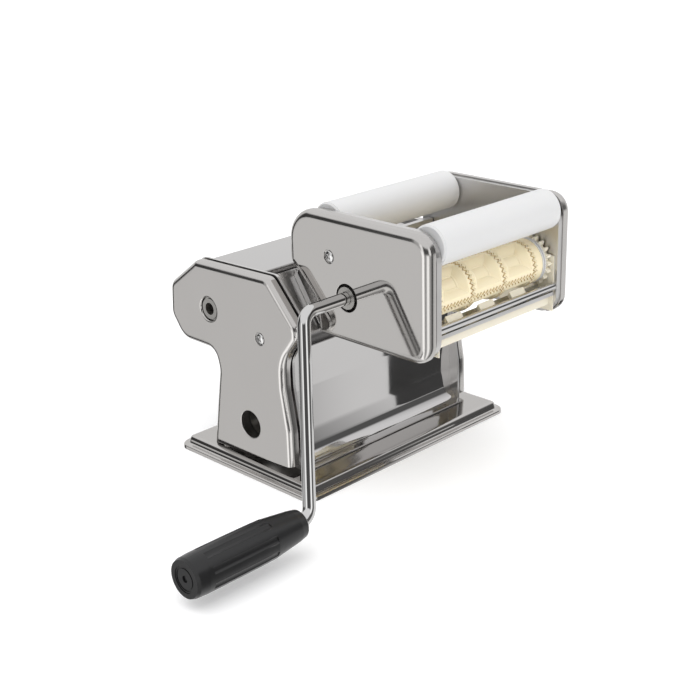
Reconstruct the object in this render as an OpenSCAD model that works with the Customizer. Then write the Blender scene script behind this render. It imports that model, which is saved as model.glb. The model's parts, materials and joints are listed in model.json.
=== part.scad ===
/* [Base] */
// Length of the base plate along the rollers
base_len = 205; // [190:1:230]
// Depth of the base plate, front to back
base_dep = 138; // [126:1:160]
// Height of the base plate's upper face
base_h = 8; // [6:0.5:10]
// Width of the low rim around the base plate
base_rim = 1.8; // [1:0.1:3]
// Height of the low rim
base_rim_h = 3; // [2:0.1:4]
// Corner radius of the base plate
base_corner = 7; // [5:0.5:12]
// Thickness of the pressed steel of the base plate
base_sheet = 1.2; // [0.8:0.1:2]

/* [Rolling stand] */
// Width of the stand over its two side covers
stand_w = 182.4; // [178:0.2:188]
// Height of the stand above the table
stand_h = 143.2; // [140:0.2:150]
// Depth of a drawn side cover, across the stand
stand_cover_t = 7.6; // [7:0.1:8]
// Gap between a side cover and its side frame
stand_cover_gap = 1.7; // [1:0.1:2.5]
// Thickness of a side frame
stand_frame_t = 2; // [1.5:0.1:2.5]
// Radius of the drawn edge of a stand cover
stand_edge_r = 4.6; // [3:0.1:5]
// Sheet thickness of the covers, guards and aprons
sheet = 1; // [0.7:0.1:1.2]
// Sheet thickness of the guard in front of the sliding roller
guard_t = 0.5; // [0.4:0.1:0.7]
// Radius of the smooth dough rollers
roller_r = 14; // [12.5:0.1:14.4]
// Gap between the smooth rollers in the finest setting
roller_gap = 0.6; // [0.3:0.1:1]
// Travel of the adjustable roller
roller_travel = 2.3; // [1:0.1:2.4]
// Turn of the thickness dial from the finest to the coarsest setting
dial_turn = 216; // [150:1:240]
// Radius of the thickness dial
dial_r = 14; // [10:0.5:16]
// Radius of the clamp hole in the crank side cover
clamp_hole_r = 9.8; // [8:0.1:10.5]

/* [Ravioli head] */
// Width of the head over its two side covers
head_w = 142; // [140:0.2:146]
// Height of the head's side covers
head_h = 82.8; // [80:0.2:86]
// Depth of a drawn head cover, across the head
head_cover_t = 7.8; // [7.4:0.1:8.4]
// Thickness of a head frame
head_frame_t = 4.4; // [3.6:0.1:4.8]
// Radius of the drawn edge of a head cover
head_edge_r = 5.4; // [4:0.1:6]
// Radius of the white dough guide rollers
guide_r = 13.4; // [11:0.1:14]
// Radius of the ravioli die rollers over their cutting ridges
die_r = 16.1; // [15.4:0.1:16.6]
// Running gap between the two die rollers
die_gap = 0.4; // [0.3:0.05:0.8]
// Pitch of the ravioli moulds along a die roller
mould_pitch = 31.5; // [30:0.5:32]
// Moulds along a die roller
mould_columns = 3; // [3:1:3]
// Moulds around a die roller
mould_rows = 3; // [3:1:4]
// Depth of a mould below the cutting ridges
mould_depth = 5.4; // [3.6:0.1:6]
// Height the head lifts on its rails before it is free
head_lift = 34; // [20:1:40]

/* [Crank] */
// Diameter of the crank rod
rod_d = 8.4; // [7:0.1:8.8]
// Length of the crank arm between its two bends
arm_len = 125.5; // [110:0.5:126]
// Slant of the crank arm away from the machine
arm_slant = 14.9; // [8:0.1:25]
// Swing of the crank arm forward of straight down
arm_swing = 15.6; // [-30:0.1:30]
// Distance of the crank arm's upper bend from the machine's middle
arm_x = 108; // [104:0.5:116]
// Radius of the crank's bends, on the middle of the rod
bend_r = 10; // [8:0.5:12]
// Length of the grip
grip_len = 89; // [80:0.5:105]
// Largest radius of the grip
grip_r = 13.1; // [12:0.1:13.6]
// Flutes around the grip
grip_flutes = 8; // [6:1:10]

/* [Hidden] */
$fn = 48;

// Clearances and common sizes
run_gap = 0.05;
slide_gap = 0.2;
part_gap = 0.5;
over = 1;
axle_step = 1;
journal_r = 5;
small_pin_r = 2;
screw_r = 1.5;
tie_r = 3;
steel = [0.74, 0.73, 0.71];
bright = [0.82, 0.82, 0.82];
cream = [0.94, 0.89, 0.76];
white = [0.93, 0.93, 0.93];
black = [0.17, 0.17, 0.17];

// Across the stand
stand_face_x = stand_w / 2;
stand_rim_x = stand_face_x - stand_cover_t;
frame_out_x = stand_rim_x - stand_cover_gap;
frame_in_x = frame_out_x - stand_frame_t;
cover_step = 0.6;
side_gear_t = 3.1;
gear_layer_gap = 0.4;
roller_gear_x = frame_out_x + part_gap;
input_gear_x = roller_gear_x + side_gear_t + gear_layer_gap;

// Places of the stand's turning parts, as y and z
stand_axis_shares = [0.2661, 0.7577];
roller_drop_share = 0.0524;
socket_y = stand_h * stand_axis_shares[0];
socket_z = stand_h * stand_axis_shares[1];
gear_slack = 0.1;
stand_module = 1.5;
pinion_teeth = 18;
input_teeth = 22;
roller_teeth = 19;
input_dist = stand_module * (pinion_teeth + input_teeth) / 2 + gear_slack;
roller_rise = stand_h * roller_drop_share;
rear_roller_y = socket_y - sqrt(input_dist * input_dist - roller_rise * roller_rise);
roller_z = socket_z + roller_rise;
roller_dist = 2 * roller_r + roller_gap;
front_roller_y = rear_roller_y - roller_dist;
nip_y = rear_roller_y - roller_dist / 2;
roller_module = 2 * (roller_dist - gear_slack) / (roller_teeth + roller_teeth);

// Slanted front of the stand: top lip, lower nose and the direction up along it
slant_shares = [-0.1515, 0.9986, -0.3191, 0.7472];
lip_y = stand_h * slant_shares[0];
lip_z = stand_h * slant_shares[1];
nose_y = stand_h * slant_shares[2];
nose_z = stand_h * slant_shares[3];
slant_len = norm([lip_y - nose_y, lip_z - nose_z]);
slant_turn = -atan2(lip_y - nose_y, lip_z - nose_z);

// Places of the head's parts
head_face_x = head_w / 2;
head_rim_x = head_face_x - head_cover_t;
head_frame_x = head_rim_x - sheet;
head_in_x = head_frame_x - head_frame_t;
cheek_t = 0.8;
cheek_in_x = head_in_x - cheek_t;
head_place_shares = [-0.7518, 0.9874];
head_y = stand_h * head_place_shares[0];
die_z = stand_h * head_place_shares[1];
die_dist = 2 * die_r + die_gap;
front_die_y = head_y - die_dist / 2;
rear_die_y = head_y + die_dist / 2;
hub_shares = [0.3714, -0.064];
hub_y = head_y + head_h * hub_shares[0];
hub_z = die_z + head_h * hub_shares[1];
guide_shares = [-0.3219, 0.7132, 0.4348];
front_guide_y = head_y + head_h * guide_shares[0];
rear_guide_y = head_y + head_h * guide_shares[1];
guide_z = die_z + head_h * guide_shares[2];
die_teeth = 20;
die_module = 2 * (die_dist - gear_slack) / (die_teeth + die_teeth);
socket_teeth = 13;
die_input_teeth = 15;
hub_dist = norm([hub_y - rear_die_y, hub_z - die_z]);
socket_module = 2 * (hub_dist - gear_slack) / (socket_teeth + die_input_teeth);

// Side outlines as shares of the stand's and the head's heights: y, z, corner radius
STAND_SHARES = [
    [0.3561, 0.9874, 0.0489], [-0.1641, 1, 0.0419], [-0.3701, 0.7716, 0.0349],
    [-0.2458, 0.6145, 0.0978], [-0.2458, 0.4749, 0.2095], [-0.2807, 0.2654, 0.2095],
    [-0.2807, 0.0279, 0.014], [0.3045, 0.0279, 0.014], [0.2619, 0.2793, 0.2095],
    [0.2291, 0.4609, 0.0978], [0.2514, 0.5489, 0.0559], [0.4888, 0.5517, 0.1117],
    [0.5761, 0.6704, 0.0838], [0.5628, 0.838, 0.0698]
];
HEAD_SHARES = [
    [1.0103, 0.5628, 0.2657], [-0.4583, 0.558, 0.157], [-0.4535, -0.4396, 0.157],
    [0.7023, -0.4324, 0.0483], [0.7385, -0.1498, 0.0725], [1.0103, 0.1159, 0.0725]
];
HEAD_FRAME_SHARES = [
    [0.9813, 0.5507, 0.2657], [-0.4523, 0.5507, 0.2053], [-0.4475, -0.4275, 0.1691],
    [0.6745, -0.4275, 0.0242], [0.9813, 0.0338, 0.0242]
];
function sized(shares, size, y0, z0) =
    [for (p = shares) [y0 + p[0] * size, z0 + p[1] * size, p[2] * size]];
stand_outline = sized(STAND_SHARES, stand_h, 0, 0);
head_outline = sized(HEAD_SHARES, head_h, head_y, die_z);
head_frame_outline = sized(HEAD_FRAME_SHARES, head_h, head_y, die_z);

// Outlines: corners moved inward, rounded, and made into rings or strips of sheet
function unit(v) = v / norm(v);
function inward(a, b) = let (d = unit(b - a)) [-d[1], d[0]];
function flat_pt(p) = [p[0], p[1]];
function turns_in(a, b, c) =
    (b[0] - a[0]) * (c[1] - b[1]) - (b[1] - a[1]) * (c[0] - b[0]) > 0;
function moved_corner(list, i, d) =
    let (n = len(list), a = flat_pt(list[(i + n - 1) % n]), b = flat_pt(list[i]),
        c = flat_pt(list[(i + 1) % n]), u = inward(a, b), w = inward(b, c),
        r = list[i][2] + (turns_in(a, b, c) ? -d : d), p = b + (u + w) / (1 + u * w) * d)
    [p[0], p[1], max(r, sheet / 4)];
function inset_outline(list, d) = [for (i = [0 : len(list) - 1]) moved_corner(list, i, d)];
function corner_arc(a, b, c, r, steps) =
    let (u = unit(a - b), w = unit(c - b), half = acos(u * w) / 2,
        mid = b + unit(u + w) * r / sin(half), s = b + u * r / tan(half) - mid,
        e = b + w * r / tan(half) - mid, a0 = atan2(s[1], s[0]),
        raw = atan2(e[1], e[0]) - a0,
        sweep = raw > 180 ? raw - 360 : raw < -180 ? raw + 360 : raw)
    [for (k = [0 : steps])
        mid + r * [cos(a0 + sweep * k / steps), sin(a0 + sweep * k / steps)]];
function rounded(list, steps = 4) =
    let (n = len(list))
    [for (i = [0 : n - 1])
        each corner_arc(flat_pt(list[(i + n - 1) % n]), flat_pt(list[i]),
            flat_pt(list[(i + 1) % n]), list[i][2], steps)];
function ring(list, d, x, steps) =
    [for (p = rounded(inset_outline(list, d), steps)) [x, p[0], p[1]]];
function path_side(p, i, t) =
    i == 0 ? p[0] + inward(p[0], p[1]) * t
    : i == len(p) - 1 ? p[i] + inward(p[i - 1], p[i]) * t
    : let (u = inward(p[i - 1], p[i]), w = inward(p[i], p[i + 1]))
        p[i] + (u + w) / (1 + u * w) * t;
function strip(p, t) = concat(p, [for (i = [len(p) - 1 : -1 : 0]) path_side(p, i, t)]);

// Involute gear outline with short teeth, thinned a little for backlash
pressure = 25;
tooth_top_share = 0.85;
tooth_root_share = 1.08;
flank_steps = 3;
backlash = 0.07;
function inv_deg(a) = tan(a) * 180 / PI - a;
function half_tooth(r, rb, pitch, teeth) =
    90 / teeth - backlash / pitch * 180 / PI + inv_deg(pressure)
    - (r > rb ? inv_deg(acos(rb / r)) : 0);
function polar(r, a) = [r * cos(a), r * sin(a)];
function gear_outline(m, teeth) =
    let (pitch = m * teeth / 2, rb = pitch * cos(pressure),
        root = pitch - m * tooth_root_share, tip = pitch + m * tooth_top_share,
        start = max(rb, root + m / 8),
        radii = concat([root], [for (k = [0 : flank_steps])
            start + (tip - start) * k / flank_steps]))
    [for (i = [0 : teeth - 1])
        each concat(
            [for (r = radii) polar(r, 360 * i / teeth - half_tooth(r, rb, pitch, teeth))],
            [for (k = [len(radii) - 1 : -1 : 0])
                polar(radii[k], 360 * i / teeth + half_tooth(radii[k], rb, pitch, teeth))])];
function mesh_turn(ya, za, yb, zb) = atan2(zb - za, yb - ya);

// Shapes laid across the machine
module across(x0, x1) {
    translate([x0, 0, 0])
        rotate([90, 0, 90])
            linear_extrude(x1 - x0)
                children();
}
module rod(x0, x1, y, z, r) {
    translate([x0, y, z])
        rotate([0, 90, 0])
            cylinder(r = r, h = x1 - x0);
}
module tube(x0, x1, y, z, r, bore) {
    difference() {
        rod(x0, x1, y, z, r);
        rod(x0 - over, x1 + over, y, z, bore);
    }
}
module gear(m, teeth, turn, x0, x1, y, z, bore) {
    difference() {
        translate([0, y, z])
            across(x0, x1)
                rotate(turn)
                    polygon(gear_outline(m, teeth));
        rod(x0 - over, x1 + over, y, z, bore);
    }
}
module both_sides() {
    children();
    mirror([1, 0, 0])
        children();
}
module on_slant() {
    translate([0, nose_y, nose_z])
        rotate([slant_turn, 0, 0])
            children();
}
module box(x0, x1, y0, y1, z0, z1) {
    translate([x0, y0, z0])
        cube([x1 - x0, y1 - y0, z1 - z0]);
}

// Drawn cover open toward the machine, with its edge rounded over
module drawn_cover(outline, rim_x, face_x, er, step, arc_steps, eye) {
    edge_steps = 4;
    turns = [for (k = [0 : edge_steps]) 90 * k / edge_steps];
    ir = er - sheet;
    outer = concat([ring(outline, step, rim_x, arc_steps)],
        [for (a = turns) ring(outline, step + er * (1 - cos(a)),
            face_x - er + er * sin(a), arc_steps)]);
    inner = concat([ring(outline, step + sheet, rim_x, arc_steps)],
        [for (a = turns) ring(outline, step + sheet + ir * (1 - cos(a)),
            face_x - er + ir * sin(a), arc_steps)]);
    n = len(outer[0]);
    m = len(outer) - 1;
    shift = n * (m + 1);
    pts = concat([for (r = outer) each r], [for (r = inner) each r],
        [[face_x, eye[0], eye[1]], [face_x - sheet, eye[0], eye[1]]]);
    hub = 2 * shift;
    walls = [for (k = [0 : m - 1], i = [0 : n - 1])
        let (j = (i + 1) % n, a = k * n + i, b = k * n + j, c = a + n, d = b + n)
        each [[a, c, d], [a, d, b], [shift + a, shift + d, shift + c],
            [shift + a, shift + b, shift + d]]];
    rim = [for (i = [0 : n - 1]) let (j = (i + 1) % n)
        each [[i, j, shift + j], [i, shift + j, shift + i]]];
    caps = [for (i = [0 : n - 1]) let (j = (i + 1) % n)
        each [[hub, m * n + j, m * n + i], [hub + 1, shift + m * n + i, shift + m * n + j]]];
    polyhedron(points = pts, faces = concat(walls, rim, caps), convexity = 8);
}

// Base plate with its bevelled upper edge and open underside
base_edge_r = 1.6;
base_in_corner = base_corner - base_rim;
module slab(lx, ly, r, z0, z1) {
    box(-lx / 2 + r, lx / 2 - r, -ly / 2, ly / 2, z0, z1);
    box(-lx / 2, lx / 2, -ly / 2 + r, ly / 2 - r, z0, z1);
    for (sx = [-1, 1], sy = [-1, 1])
        translate([sx * (lx / 2 - r), sy * (ly / 2 - r), z0])
            cylinder(r = r, h = z1 - z0);
}
module base_plate() {
    lx = base_len - 2 * base_rim;
    ly = base_dep - 2 * base_rim;
    e = base_edge_r;
    color(steel)
    difference() {
        union() {
            slab(base_len, base_dep, base_corner, 0, base_rim_h);
            slab(lx, ly, base_in_corner, base_rim_h / 2, base_h - e);
            across(-lx / 2 + base_in_corner, lx / 2 - base_in_corner)
                polygon([[-ly / 2, base_h - e], [ly / 2, base_h - e], [ly / 2 - e, base_h],
                    [-ly / 2 + e, base_h]]);
            translate([0, ly / 2 - base_in_corner, 0])
                rotate([90, 0, 0])
                    linear_extrude(ly - 2 * base_in_corner)
                        polygon([[-lx / 2, base_h - e], [lx / 2, base_h - e],
                            [lx / 2 - e, base_h], [-lx / 2 + e, base_h]]);
            for (s = [-1, 1], t = [-1, 1])
                translate([s * (lx / 2 - base_in_corner), t * (ly / 2 - base_in_corner),
                    base_h - e])
                    cylinder(r1 = base_in_corner, r2 = base_in_corner - e, h = e);
        }
        slab(lx - 2 * base_sheet, ly - 2 * base_sheet, base_in_corner - base_sheet, -over,
            base_h - base_sheet);
        for (y = rivet_places)
            translate([rivet_x, y, 0])
                cylinder(r = screw_r, h = base_h + over);
    }
}

// Feet pads under the plate and the domed rivets on it
foot_r = 9;
foot_in = 16;
module rubber_feet() {
    color(black)
    for (sx = [-1, 1], sy = [-1, 1])
        translate([sx * (base_len / 2 - foot_in), sy * (base_dep / 2 - foot_in), 0])
            cylinder(r = foot_r, h = base_h - base_sheet);
}
rivet_x = 7;
rivet_shares = [-0.239, 0.362];
rivet_places = rivet_shares * base_dep;
rivet_r = 2.6;
rivet_dome = 1;
rivet_ball_r = (rivet_r * rivet_r + rivet_dome * rivet_dome) / (2 * rivet_dome);
module dome(r_head, ball_r, rise) {
    rotate_extrude()
        intersection() {
            translate([0, rise - ball_r])
                circle(ball_r);
            square([r_head, rise]);
        }
}
module base_rivets() {
    color(bright)
    for (y = rivet_places) {
        translate([rivet_x, y, base_h])
            dome(rivet_r, rivet_ball_r, rivet_dome);
        translate([rivet_x, y, base_h - base_sheet - sheet])
            cylinder(r = screw_r, h = base_sheet + sheet);
        translate([rivet_x, y, base_h - base_sheet - sheet])
            cylinder(r = rivet_r, h = sheet);
    }
}

// Side frames of the stand with a foot bent inward
slot_h = 12;
block_y = 14;
slot_front = front_roller_y - block_y / 2 - roller_travel - slide_gap;
foot_flange = 9;
tie_shares = [[0.433, 0.684], [0.1746, 0.2793], [-0.1257, 0.1536]];
tie_places = tie_shares * stand_h;
clamp_shares = [0.0021, 0.2318];
clamp_y = clamp_shares[0] * stand_h;
clamp_z = clamp_shares[1] * stand_h;
clamp_tube_t = 1.6;
screw_shares = [-0.0992, 0.6927];
cover_screw_y = screw_shares[0] * stand_h;
cover_screw_z = screw_shares[1] * stand_h;
module stand_frame() {
    difference() {
        across(frame_in_x, frame_out_x)
            polygon(rounded(stand_outline, 6));
        box(0, stand_w, -stand_h, stand_h, -over, base_h);
        rod(frame_in_x - over, frame_out_x + over, socket_y, socket_z, journal_r + run_gap);
        rod(frame_in_x - over, frame_out_x + over, rear_roller_y, roller_z,
            journal_r + run_gap);
        rod(frame_in_x - over, frame_out_x + over, cover_screw_y, cover_screw_z, screw_r);
        for (p = tie_places)
            rod(frame_in_x - over, frame_out_x + over, p[0], p[1], tie_r - sheet);
        box(frame_in_x - over, frame_out_x + over, slot_front,
            front_roller_y + block_y / 2 + slide_gap, roller_z - slot_h / 2 - slide_gap,
            roller_z + slot_h / 2 + slide_gap);
    }
    box(frame_in_x - foot_flange, frame_in_x, -base_dep / 8, base_dep / 4, base_h,
        base_h + stand_frame_t);
}
module crank_side_frame() {
    color(steel)
    difference() {
        mirror([1, 0, 0])
            stand_frame();
        rod(-frame_out_x - over, -frame_in_x + over, clamp_y, clamp_z,
            clamp_hole_r + clamp_tube_t);
    }
}
module dial_side_frame() {
    color(steel)
        stand_frame();
}

// Drawn side covers of the stand, cut off aslant above the base plate
eye_share = 0.665;
cover_lift = 0.5;
cover_slant = 3.6;
hub_hole_r = 9;
hole_sides = 64;
bearing_r = 8;
module stand_cover() {
    difference() {
        drawn_cover(stand_outline, stand_rim_x, stand_face_x, stand_edge_r, cover_step, 4,
            [0, stand_h * eye_share]);
        across(0, stand_w)
            polygon([[-stand_h, -over], [stand_h, -over],
                [stand_h, base_h + cover_lift - cover_slant],
                [base_dep / 4, base_h + cover_lift],
                [-base_dep / 4, base_h + cover_lift + cover_slant],
                [-stand_h, base_h + cover_lift + 2 * cover_slant]]);
        rod(stand_face_x - 2 * sheet, stand_face_x + over, cover_screw_y, cover_screw_z, screw_r);
        children();
    }
}
module crank_side_cover() {
    color(steel)
    mirror([1, 0, 0])
        stand_cover() {
            translate([0, socket_y, socket_z])
                across(stand_face_x - 2 * sheet, stand_face_x + over)
                    polygon([for (k = [0 : hole_sides - 1])
                        polar(hub_hole_r, 360 * k / hole_sides)]);
            rod(stand_face_x - 2 * sheet, stand_face_x + over, clamp_y, clamp_z, clamp_hole_r);
        }
}
module dial_side_cover() {
    color(steel)
    stand_cover()
        rod(stand_face_x - 2 * sheet, stand_face_x + over, front_roller_y, roller_z, bearing_r);
}
head_screw_r = 3.4;
screw_rise = 1.7;
screw_ball_r = (head_screw_r * head_screw_r + screw_rise * screw_rise) / (2 * screw_rise);
cross_w = 0.9;
cross_l = 4;
module pan_screw(x_seat, x_end, y, z) {
    rod(x_end, x_seat, y, z, screw_r);
    translate([x_seat, y, z])
        rotate([0, 90, 0])
            difference() {
                dome(head_screw_r, screw_ball_r, screw_rise);
                for (a = [0, 90])
                    rotate([0, 0, 45 + a])
                        box(-cross_l / 2, cross_l / 2, -cross_w / 2, cross_w / 2,
                            screw_rise / 2, screw_rise + over);
            }
}
module stand_cover_screws() {
    color(bright)
    both_sides()
        pan_screw(stand_face_x, frame_in_x, cover_screw_y, cover_screw_z);
}

// Sheets between the frames: guard, apron, feed plate, hood and outlet guide
slot_depth_share = 0.0768;
slot_half_shares = [0.0716, 0.0251, 0.0506, 0.0436];
feed_top_z = lip_z - 3 * sheet;
throat_z = feed_top_z - stand_h * slot_depth_share;
module sheet_part(path, t = sheet) {
    across(-frame_in_x, frame_in_x)
        polygon(strip(path, t));
}
module front_guard() {
    color(bright)
    sheet_part([
        [nip_y - slot_half_shares[2] * stand_h, throat_z],
        [nip_y - slot_half_shares[0] * stand_h, feed_top_z + sheet / 2],
        [lip_y, lip_z],
        [nose_y, nose_z],
        [nose_y + 3 * sheet, nose_z - 3 * sheet]
    ], guard_t);
}
module feed_plate() {
    color(bright)
    sheet_part([
        [rear_edge_y, feed_top_z],
        [nip_y + slot_half_shares[1] * stand_h, feed_top_z - sheet / 2],
        [nip_y + slot_half_shares[3] * stand_h, throat_z]
    ]);
}
rear_edge_y = stand_outline[0][0] - 4 * sheet;
apron_shares = [[-0.2975, 0.736], [-0.2165, 0.6145], [-0.2304, 0.4504], [-0.1837, 0.0569]];
module front_apron() {
    color(bright)
    sheet_part([for (s = apron_shares) [s[0] * stand_h, max(s[1] * stand_h, base_h)]]);
}
hood_shares = [[0.469, 0.5782], [0.555, 0.6774], [0.5421, 0.8205], [0.338, 0.966]];
module rear_hood() {
    color(bright)
        sheet_part(hood_shares * stand_h);
}
outlet_shares = [[-0.1397, 0.6425], [-0.1397, 0.4609], [0.2514, 0.3492]];
module outlet_guide() {
    color(bright)
        sheet_part(outlet_shares * stand_h);
}
module stand_tie_rods() {
    color(steel)
    for (p = tie_places) {
        rod(-frame_in_x, frame_in_x, p[0], p[1], tie_r);
        both_sides()
            rod(frame_in_x, frame_out_x, p[0], p[1], tie_r - sheet);
    }
}
clamp_tube_len = 26;
module clamp_tube() {
    color(steel)
        tube(-frame_out_x - sheet, -frame_out_x - sheet + clamp_tube_len, clamp_y, clamp_z,
            clamp_hole_r + clamp_tube_t, clamp_hole_r);
}

// Rails on the slanted guard and the bracket of the head that slides on them
rail_x = 61;
rail_foot = 1.8;
rail_w = 4.5;
rail_foot_h = 1.3;
rail_h = 2.4;
rail_low = 3;
bracket_low = 15;
bracket_t = 1.9;
bracket_wall = 1.25;
rail_out_x = rail_x + rail_w;
bracket_in_x = rail_out_x + slide_gap;
bracket_x = bracket_in_x + bracket_wall;
module attachment_rails() {
    color(steel)
    both_sides()
        on_slant() {
            box(rail_x, rail_x + rail_foot, -rail_foot_h, 0, rail_low, slant_len - sheet);
            box(rail_x, rail_out_x, -rail_h, -rail_foot_h, rail_low, slant_len - sheet);
            box(rail_x, bracket_x, -rail_h, 0, bracket_low - rail_foot - slide_gap,
                bracket_low - slide_gap);
        }
}
bracket_back = -rail_h - slide_gap;
bracket_front = bracket_back - bracket_t;
bracket_cut = 3;
module head_bracket() {
    color(steel)
    on_slant()
        difference() {
            union() {
                box(-bracket_x, bracket_x, bracket_front, bracket_back, bracket_low, slant_len);
                box(-rail_x, rail_x, bracket_front, bracket_back, 0, slant_len);
                both_sides() {
                    box(bracket_in_x, bracket_x, bracket_front, -slide_gap, bracket_low,
                        slant_len);
                    box(rail_x + rail_foot + slide_gap, bracket_x, -rail_foot_h + slide_gap,
                        -slide_gap, bracket_low, slant_len);
                }
            }
            both_sides()
                translate([bracket_x, 0, slant_len])
                    rotate([0, 45, 0])
                        box(-bracket_cut, bracket_cut, -rail_x, rail_x, -bracket_cut,
                            bracket_cut);
        }
}

// Smooth rollers, their gears and the hand drive of the stand
roller_end_gap = 4;
roller_len = 2 * (frame_in_x - roller_end_gap);
module stand_roller(y) {
    rod(-roller_len / 2, roller_len / 2, y, roller_z, roller_r);
    rod(-input_gear_x - side_gear_t, stand_rim_x - slide_gap, y, roller_z, journal_r - axle_step);
    rod(-frame_out_x - slide_gap, frame_out_x + slide_gap, y, roller_z, journal_r);
}
module rear_dough_roller() {
    color(bright)
        stand_roller(rear_roller_y);
}
module front_dough_roller() {
    color(bright) {
        rod(-roller_len / 2, roller_len / 2, front_roller_y, roller_z, roller_r);
        rod(-roller_gear_x - side_gear_t, 0, front_roller_y, roller_z, journal_r - axle_step);
        rod(-frame_out_x - slide_gap, frame_out_x + slide_gap, front_roller_y, roller_z,
            journal_r);
    }
}
input_turn = mesh_turn(rear_roller_y, roller_z, socket_y, socket_z);
module drive_pinion() {
    color(steel)
        gear(stand_module, pinion_teeth, input_turn + 180, -input_gear_x - side_gear_t,
            -input_gear_x, socket_y, socket_z, drive_shaft_r);
}
module roller_input_gear() {
    color(steel)
        gear(stand_module, input_teeth, input_turn + 180 / input_teeth,
            -input_gear_x - side_gear_t, -input_gear_x, rear_roller_y, roller_z,
            journal_r - axle_step);
}
module rear_roller_gear() {
    color(steel)
        gear(roller_module, roller_teeth, 180, -roller_gear_x - side_gear_t, -roller_gear_x,
            rear_roller_y, roller_z, journal_r - axle_step);
}
module front_roller_gear() {
    color(steel)
        gear(roller_module, roller_teeth, 180 / roller_teeth, -roller_gear_x - side_gear_t,
            -roller_gear_x, front_roller_y, roller_z, journal_r - axle_step);
}
drive_shaft_r = 6.2;
ring_r = 7.4;
ring_back = 1.2;
ring_t = 0.8;
socket_depth = 15;
socket_bore = rod_d / 2 + slide_gap / 2;
key_w = 2;
key_depth = 1;
ring_x = stand_face_x - ring_back;
module drive_shaft() {
    color(bright)
    difference() {
        union() {
            rod(-ring_x, -ring_x + ring_t, socket_y, socket_z, ring_r);
            rod(-ring_x, -frame_out_x - slide_gap, socket_y, socket_z, drive_shaft_r);
            rod(-frame_out_x - part_gap, frame_out_x + sheet, socket_y, socket_z, journal_r);
        }
        rod(-ring_x - over, -ring_x + socket_depth - part_gap, socket_y, socket_z,
            tip_r + slide_gap);
        rod(-ring_x - over, -frame_out_x - slide_gap - over, socket_y, socket_z, socket_bore);
    }
}
module rear_scraper() {
    color(bright)
    across(-frame_in_x, frame_in_x)
        polygon([
            [rear_roller_y + roller_r * 0.7, roller_z - roller_r - 2 * sheet],
            [rear_roller_y - roller_r / 4, roller_z - roller_r],
            [rear_roller_y - roller_r / 4, roller_z - roller_r - sheet / 2],
            [rear_roller_y + roller_r * 0.7, roller_z - roller_r - 4 * sheet]
        ]);
}

// Bearings of the adjustable roller, carried forward by a spiral cam on the dial
flange_t = sheet;
flange_out = 2;
lug_t = 2.5;
cam_r = 7;
cam_gap = 0.15;
cam_t = 3;
cam_x = frame_out_x + slide_gap + flange_t + slide_gap;
module bearing_block() {
    difference() {
        union() {
            box(frame_in_x - slide_gap, frame_out_x + slide_gap,
                front_roller_y - block_y / 2, front_roller_y + block_y / 2,
                roller_z - slot_h / 2, roller_z + slot_h / 2);
            box(frame_out_x + slide_gap, frame_out_x + slide_gap + flange_t / 4,
                front_roller_y - block_y / 2 - flange_out,
                front_roller_y + block_y / 2 - flange_out, roller_z - slot_h / 2 - flange_out,
                roller_z + slot_h / 2 + flange_out);
            box(frame_in_x - slide_gap - 2 * flange_t, frame_in_x - slide_gap,
                front_roller_y - block_y / 2 - flange_out, front_roller_y + block_y / 2,
                roller_z - slot_h / 2 - flange_out, roller_z + slot_h / 2);
        }
        rod(0, stand_w, front_roller_y, roller_z, journal_r + run_gap);
    }
}
module sliding_bearings() {
    color(steel) {
        both_sides()
            bearing_block();
        box(frame_out_x + slide_gap, cam_x + cam_t, front_roller_y - cam_r - cam_gap - lug_t,
            front_roller_y - cam_r - cam_gap, roller_z - lug_t, roller_z + lug_t);
    }
}
module front_scraper() {
    inner_x = frame_in_x - slide_gap - 2 * flange_t;
    color(bright) {
        across(-inner_x, inner_x)
            polygon([
                [front_roller_y - roller_r * 0.7, roller_z - roller_r - 2 * sheet],
                [front_roller_y - roller_r * 0.7, roller_z - roller_r - 4 * sheet],
                [front_roller_y + roller_r / 4, roller_z - roller_r - sheet / 2],
                [front_roller_y + roller_r / 4, roller_z - roller_r]
            ]);
        both_sides()
            box(inner_x, inner_x + 2 * flange_t, front_roller_y - block_y / 2 - flange_out,
                front_roller_y - block_y / 4, roller_z - roller_r - 4 * sheet,
                roller_z - slot_h / 2 - flange_out);
    }
}
cam_steps = 36;
function cam_radius(a) =
    a >= 180 - dial_turn ? cam_r + roller_travel * (180 - a) / dial_turn
    : cam_r + roller_travel * (a + 180) / (360 - dial_turn);
dial_shaft_r = 4;
knob_t = 13;
knob_gap = 0.6;
knob_x = stand_face_x + sheet + knob_gap;
module thickness_cam() {
    color(steel) {
        translate([0, front_roller_y, roller_z])
            across(cam_x, cam_x + cam_t)
                polygon([for (k = [0 : cam_steps - 1])
                    let (a = 180 - 360 * k / cam_steps)
                    polar(cam_radius(a), a)]);
        rod(cam_x + cam_t, knob_x + knob_t / 2, front_roller_y, roller_z, dial_shaft_r);
    }
}
module dial_bearing() {
    color(black)
    difference() {
        union() {
            rod(cam_x + cam_t + slide_gap, stand_face_x, front_roller_y, roller_z, bearing_r);
            rod(stand_face_x, stand_face_x + sheet, front_roller_y, roller_z,
                bearing_r + flange_out);
        }
        rod(0, stand_w, front_roller_y, roller_z, dial_shaft_r + run_gap);
    }
}
dial_ribs = 20;
rib_r = 0.9;
dial_skirt = 3;
pointer_w = 1.2;
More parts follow.
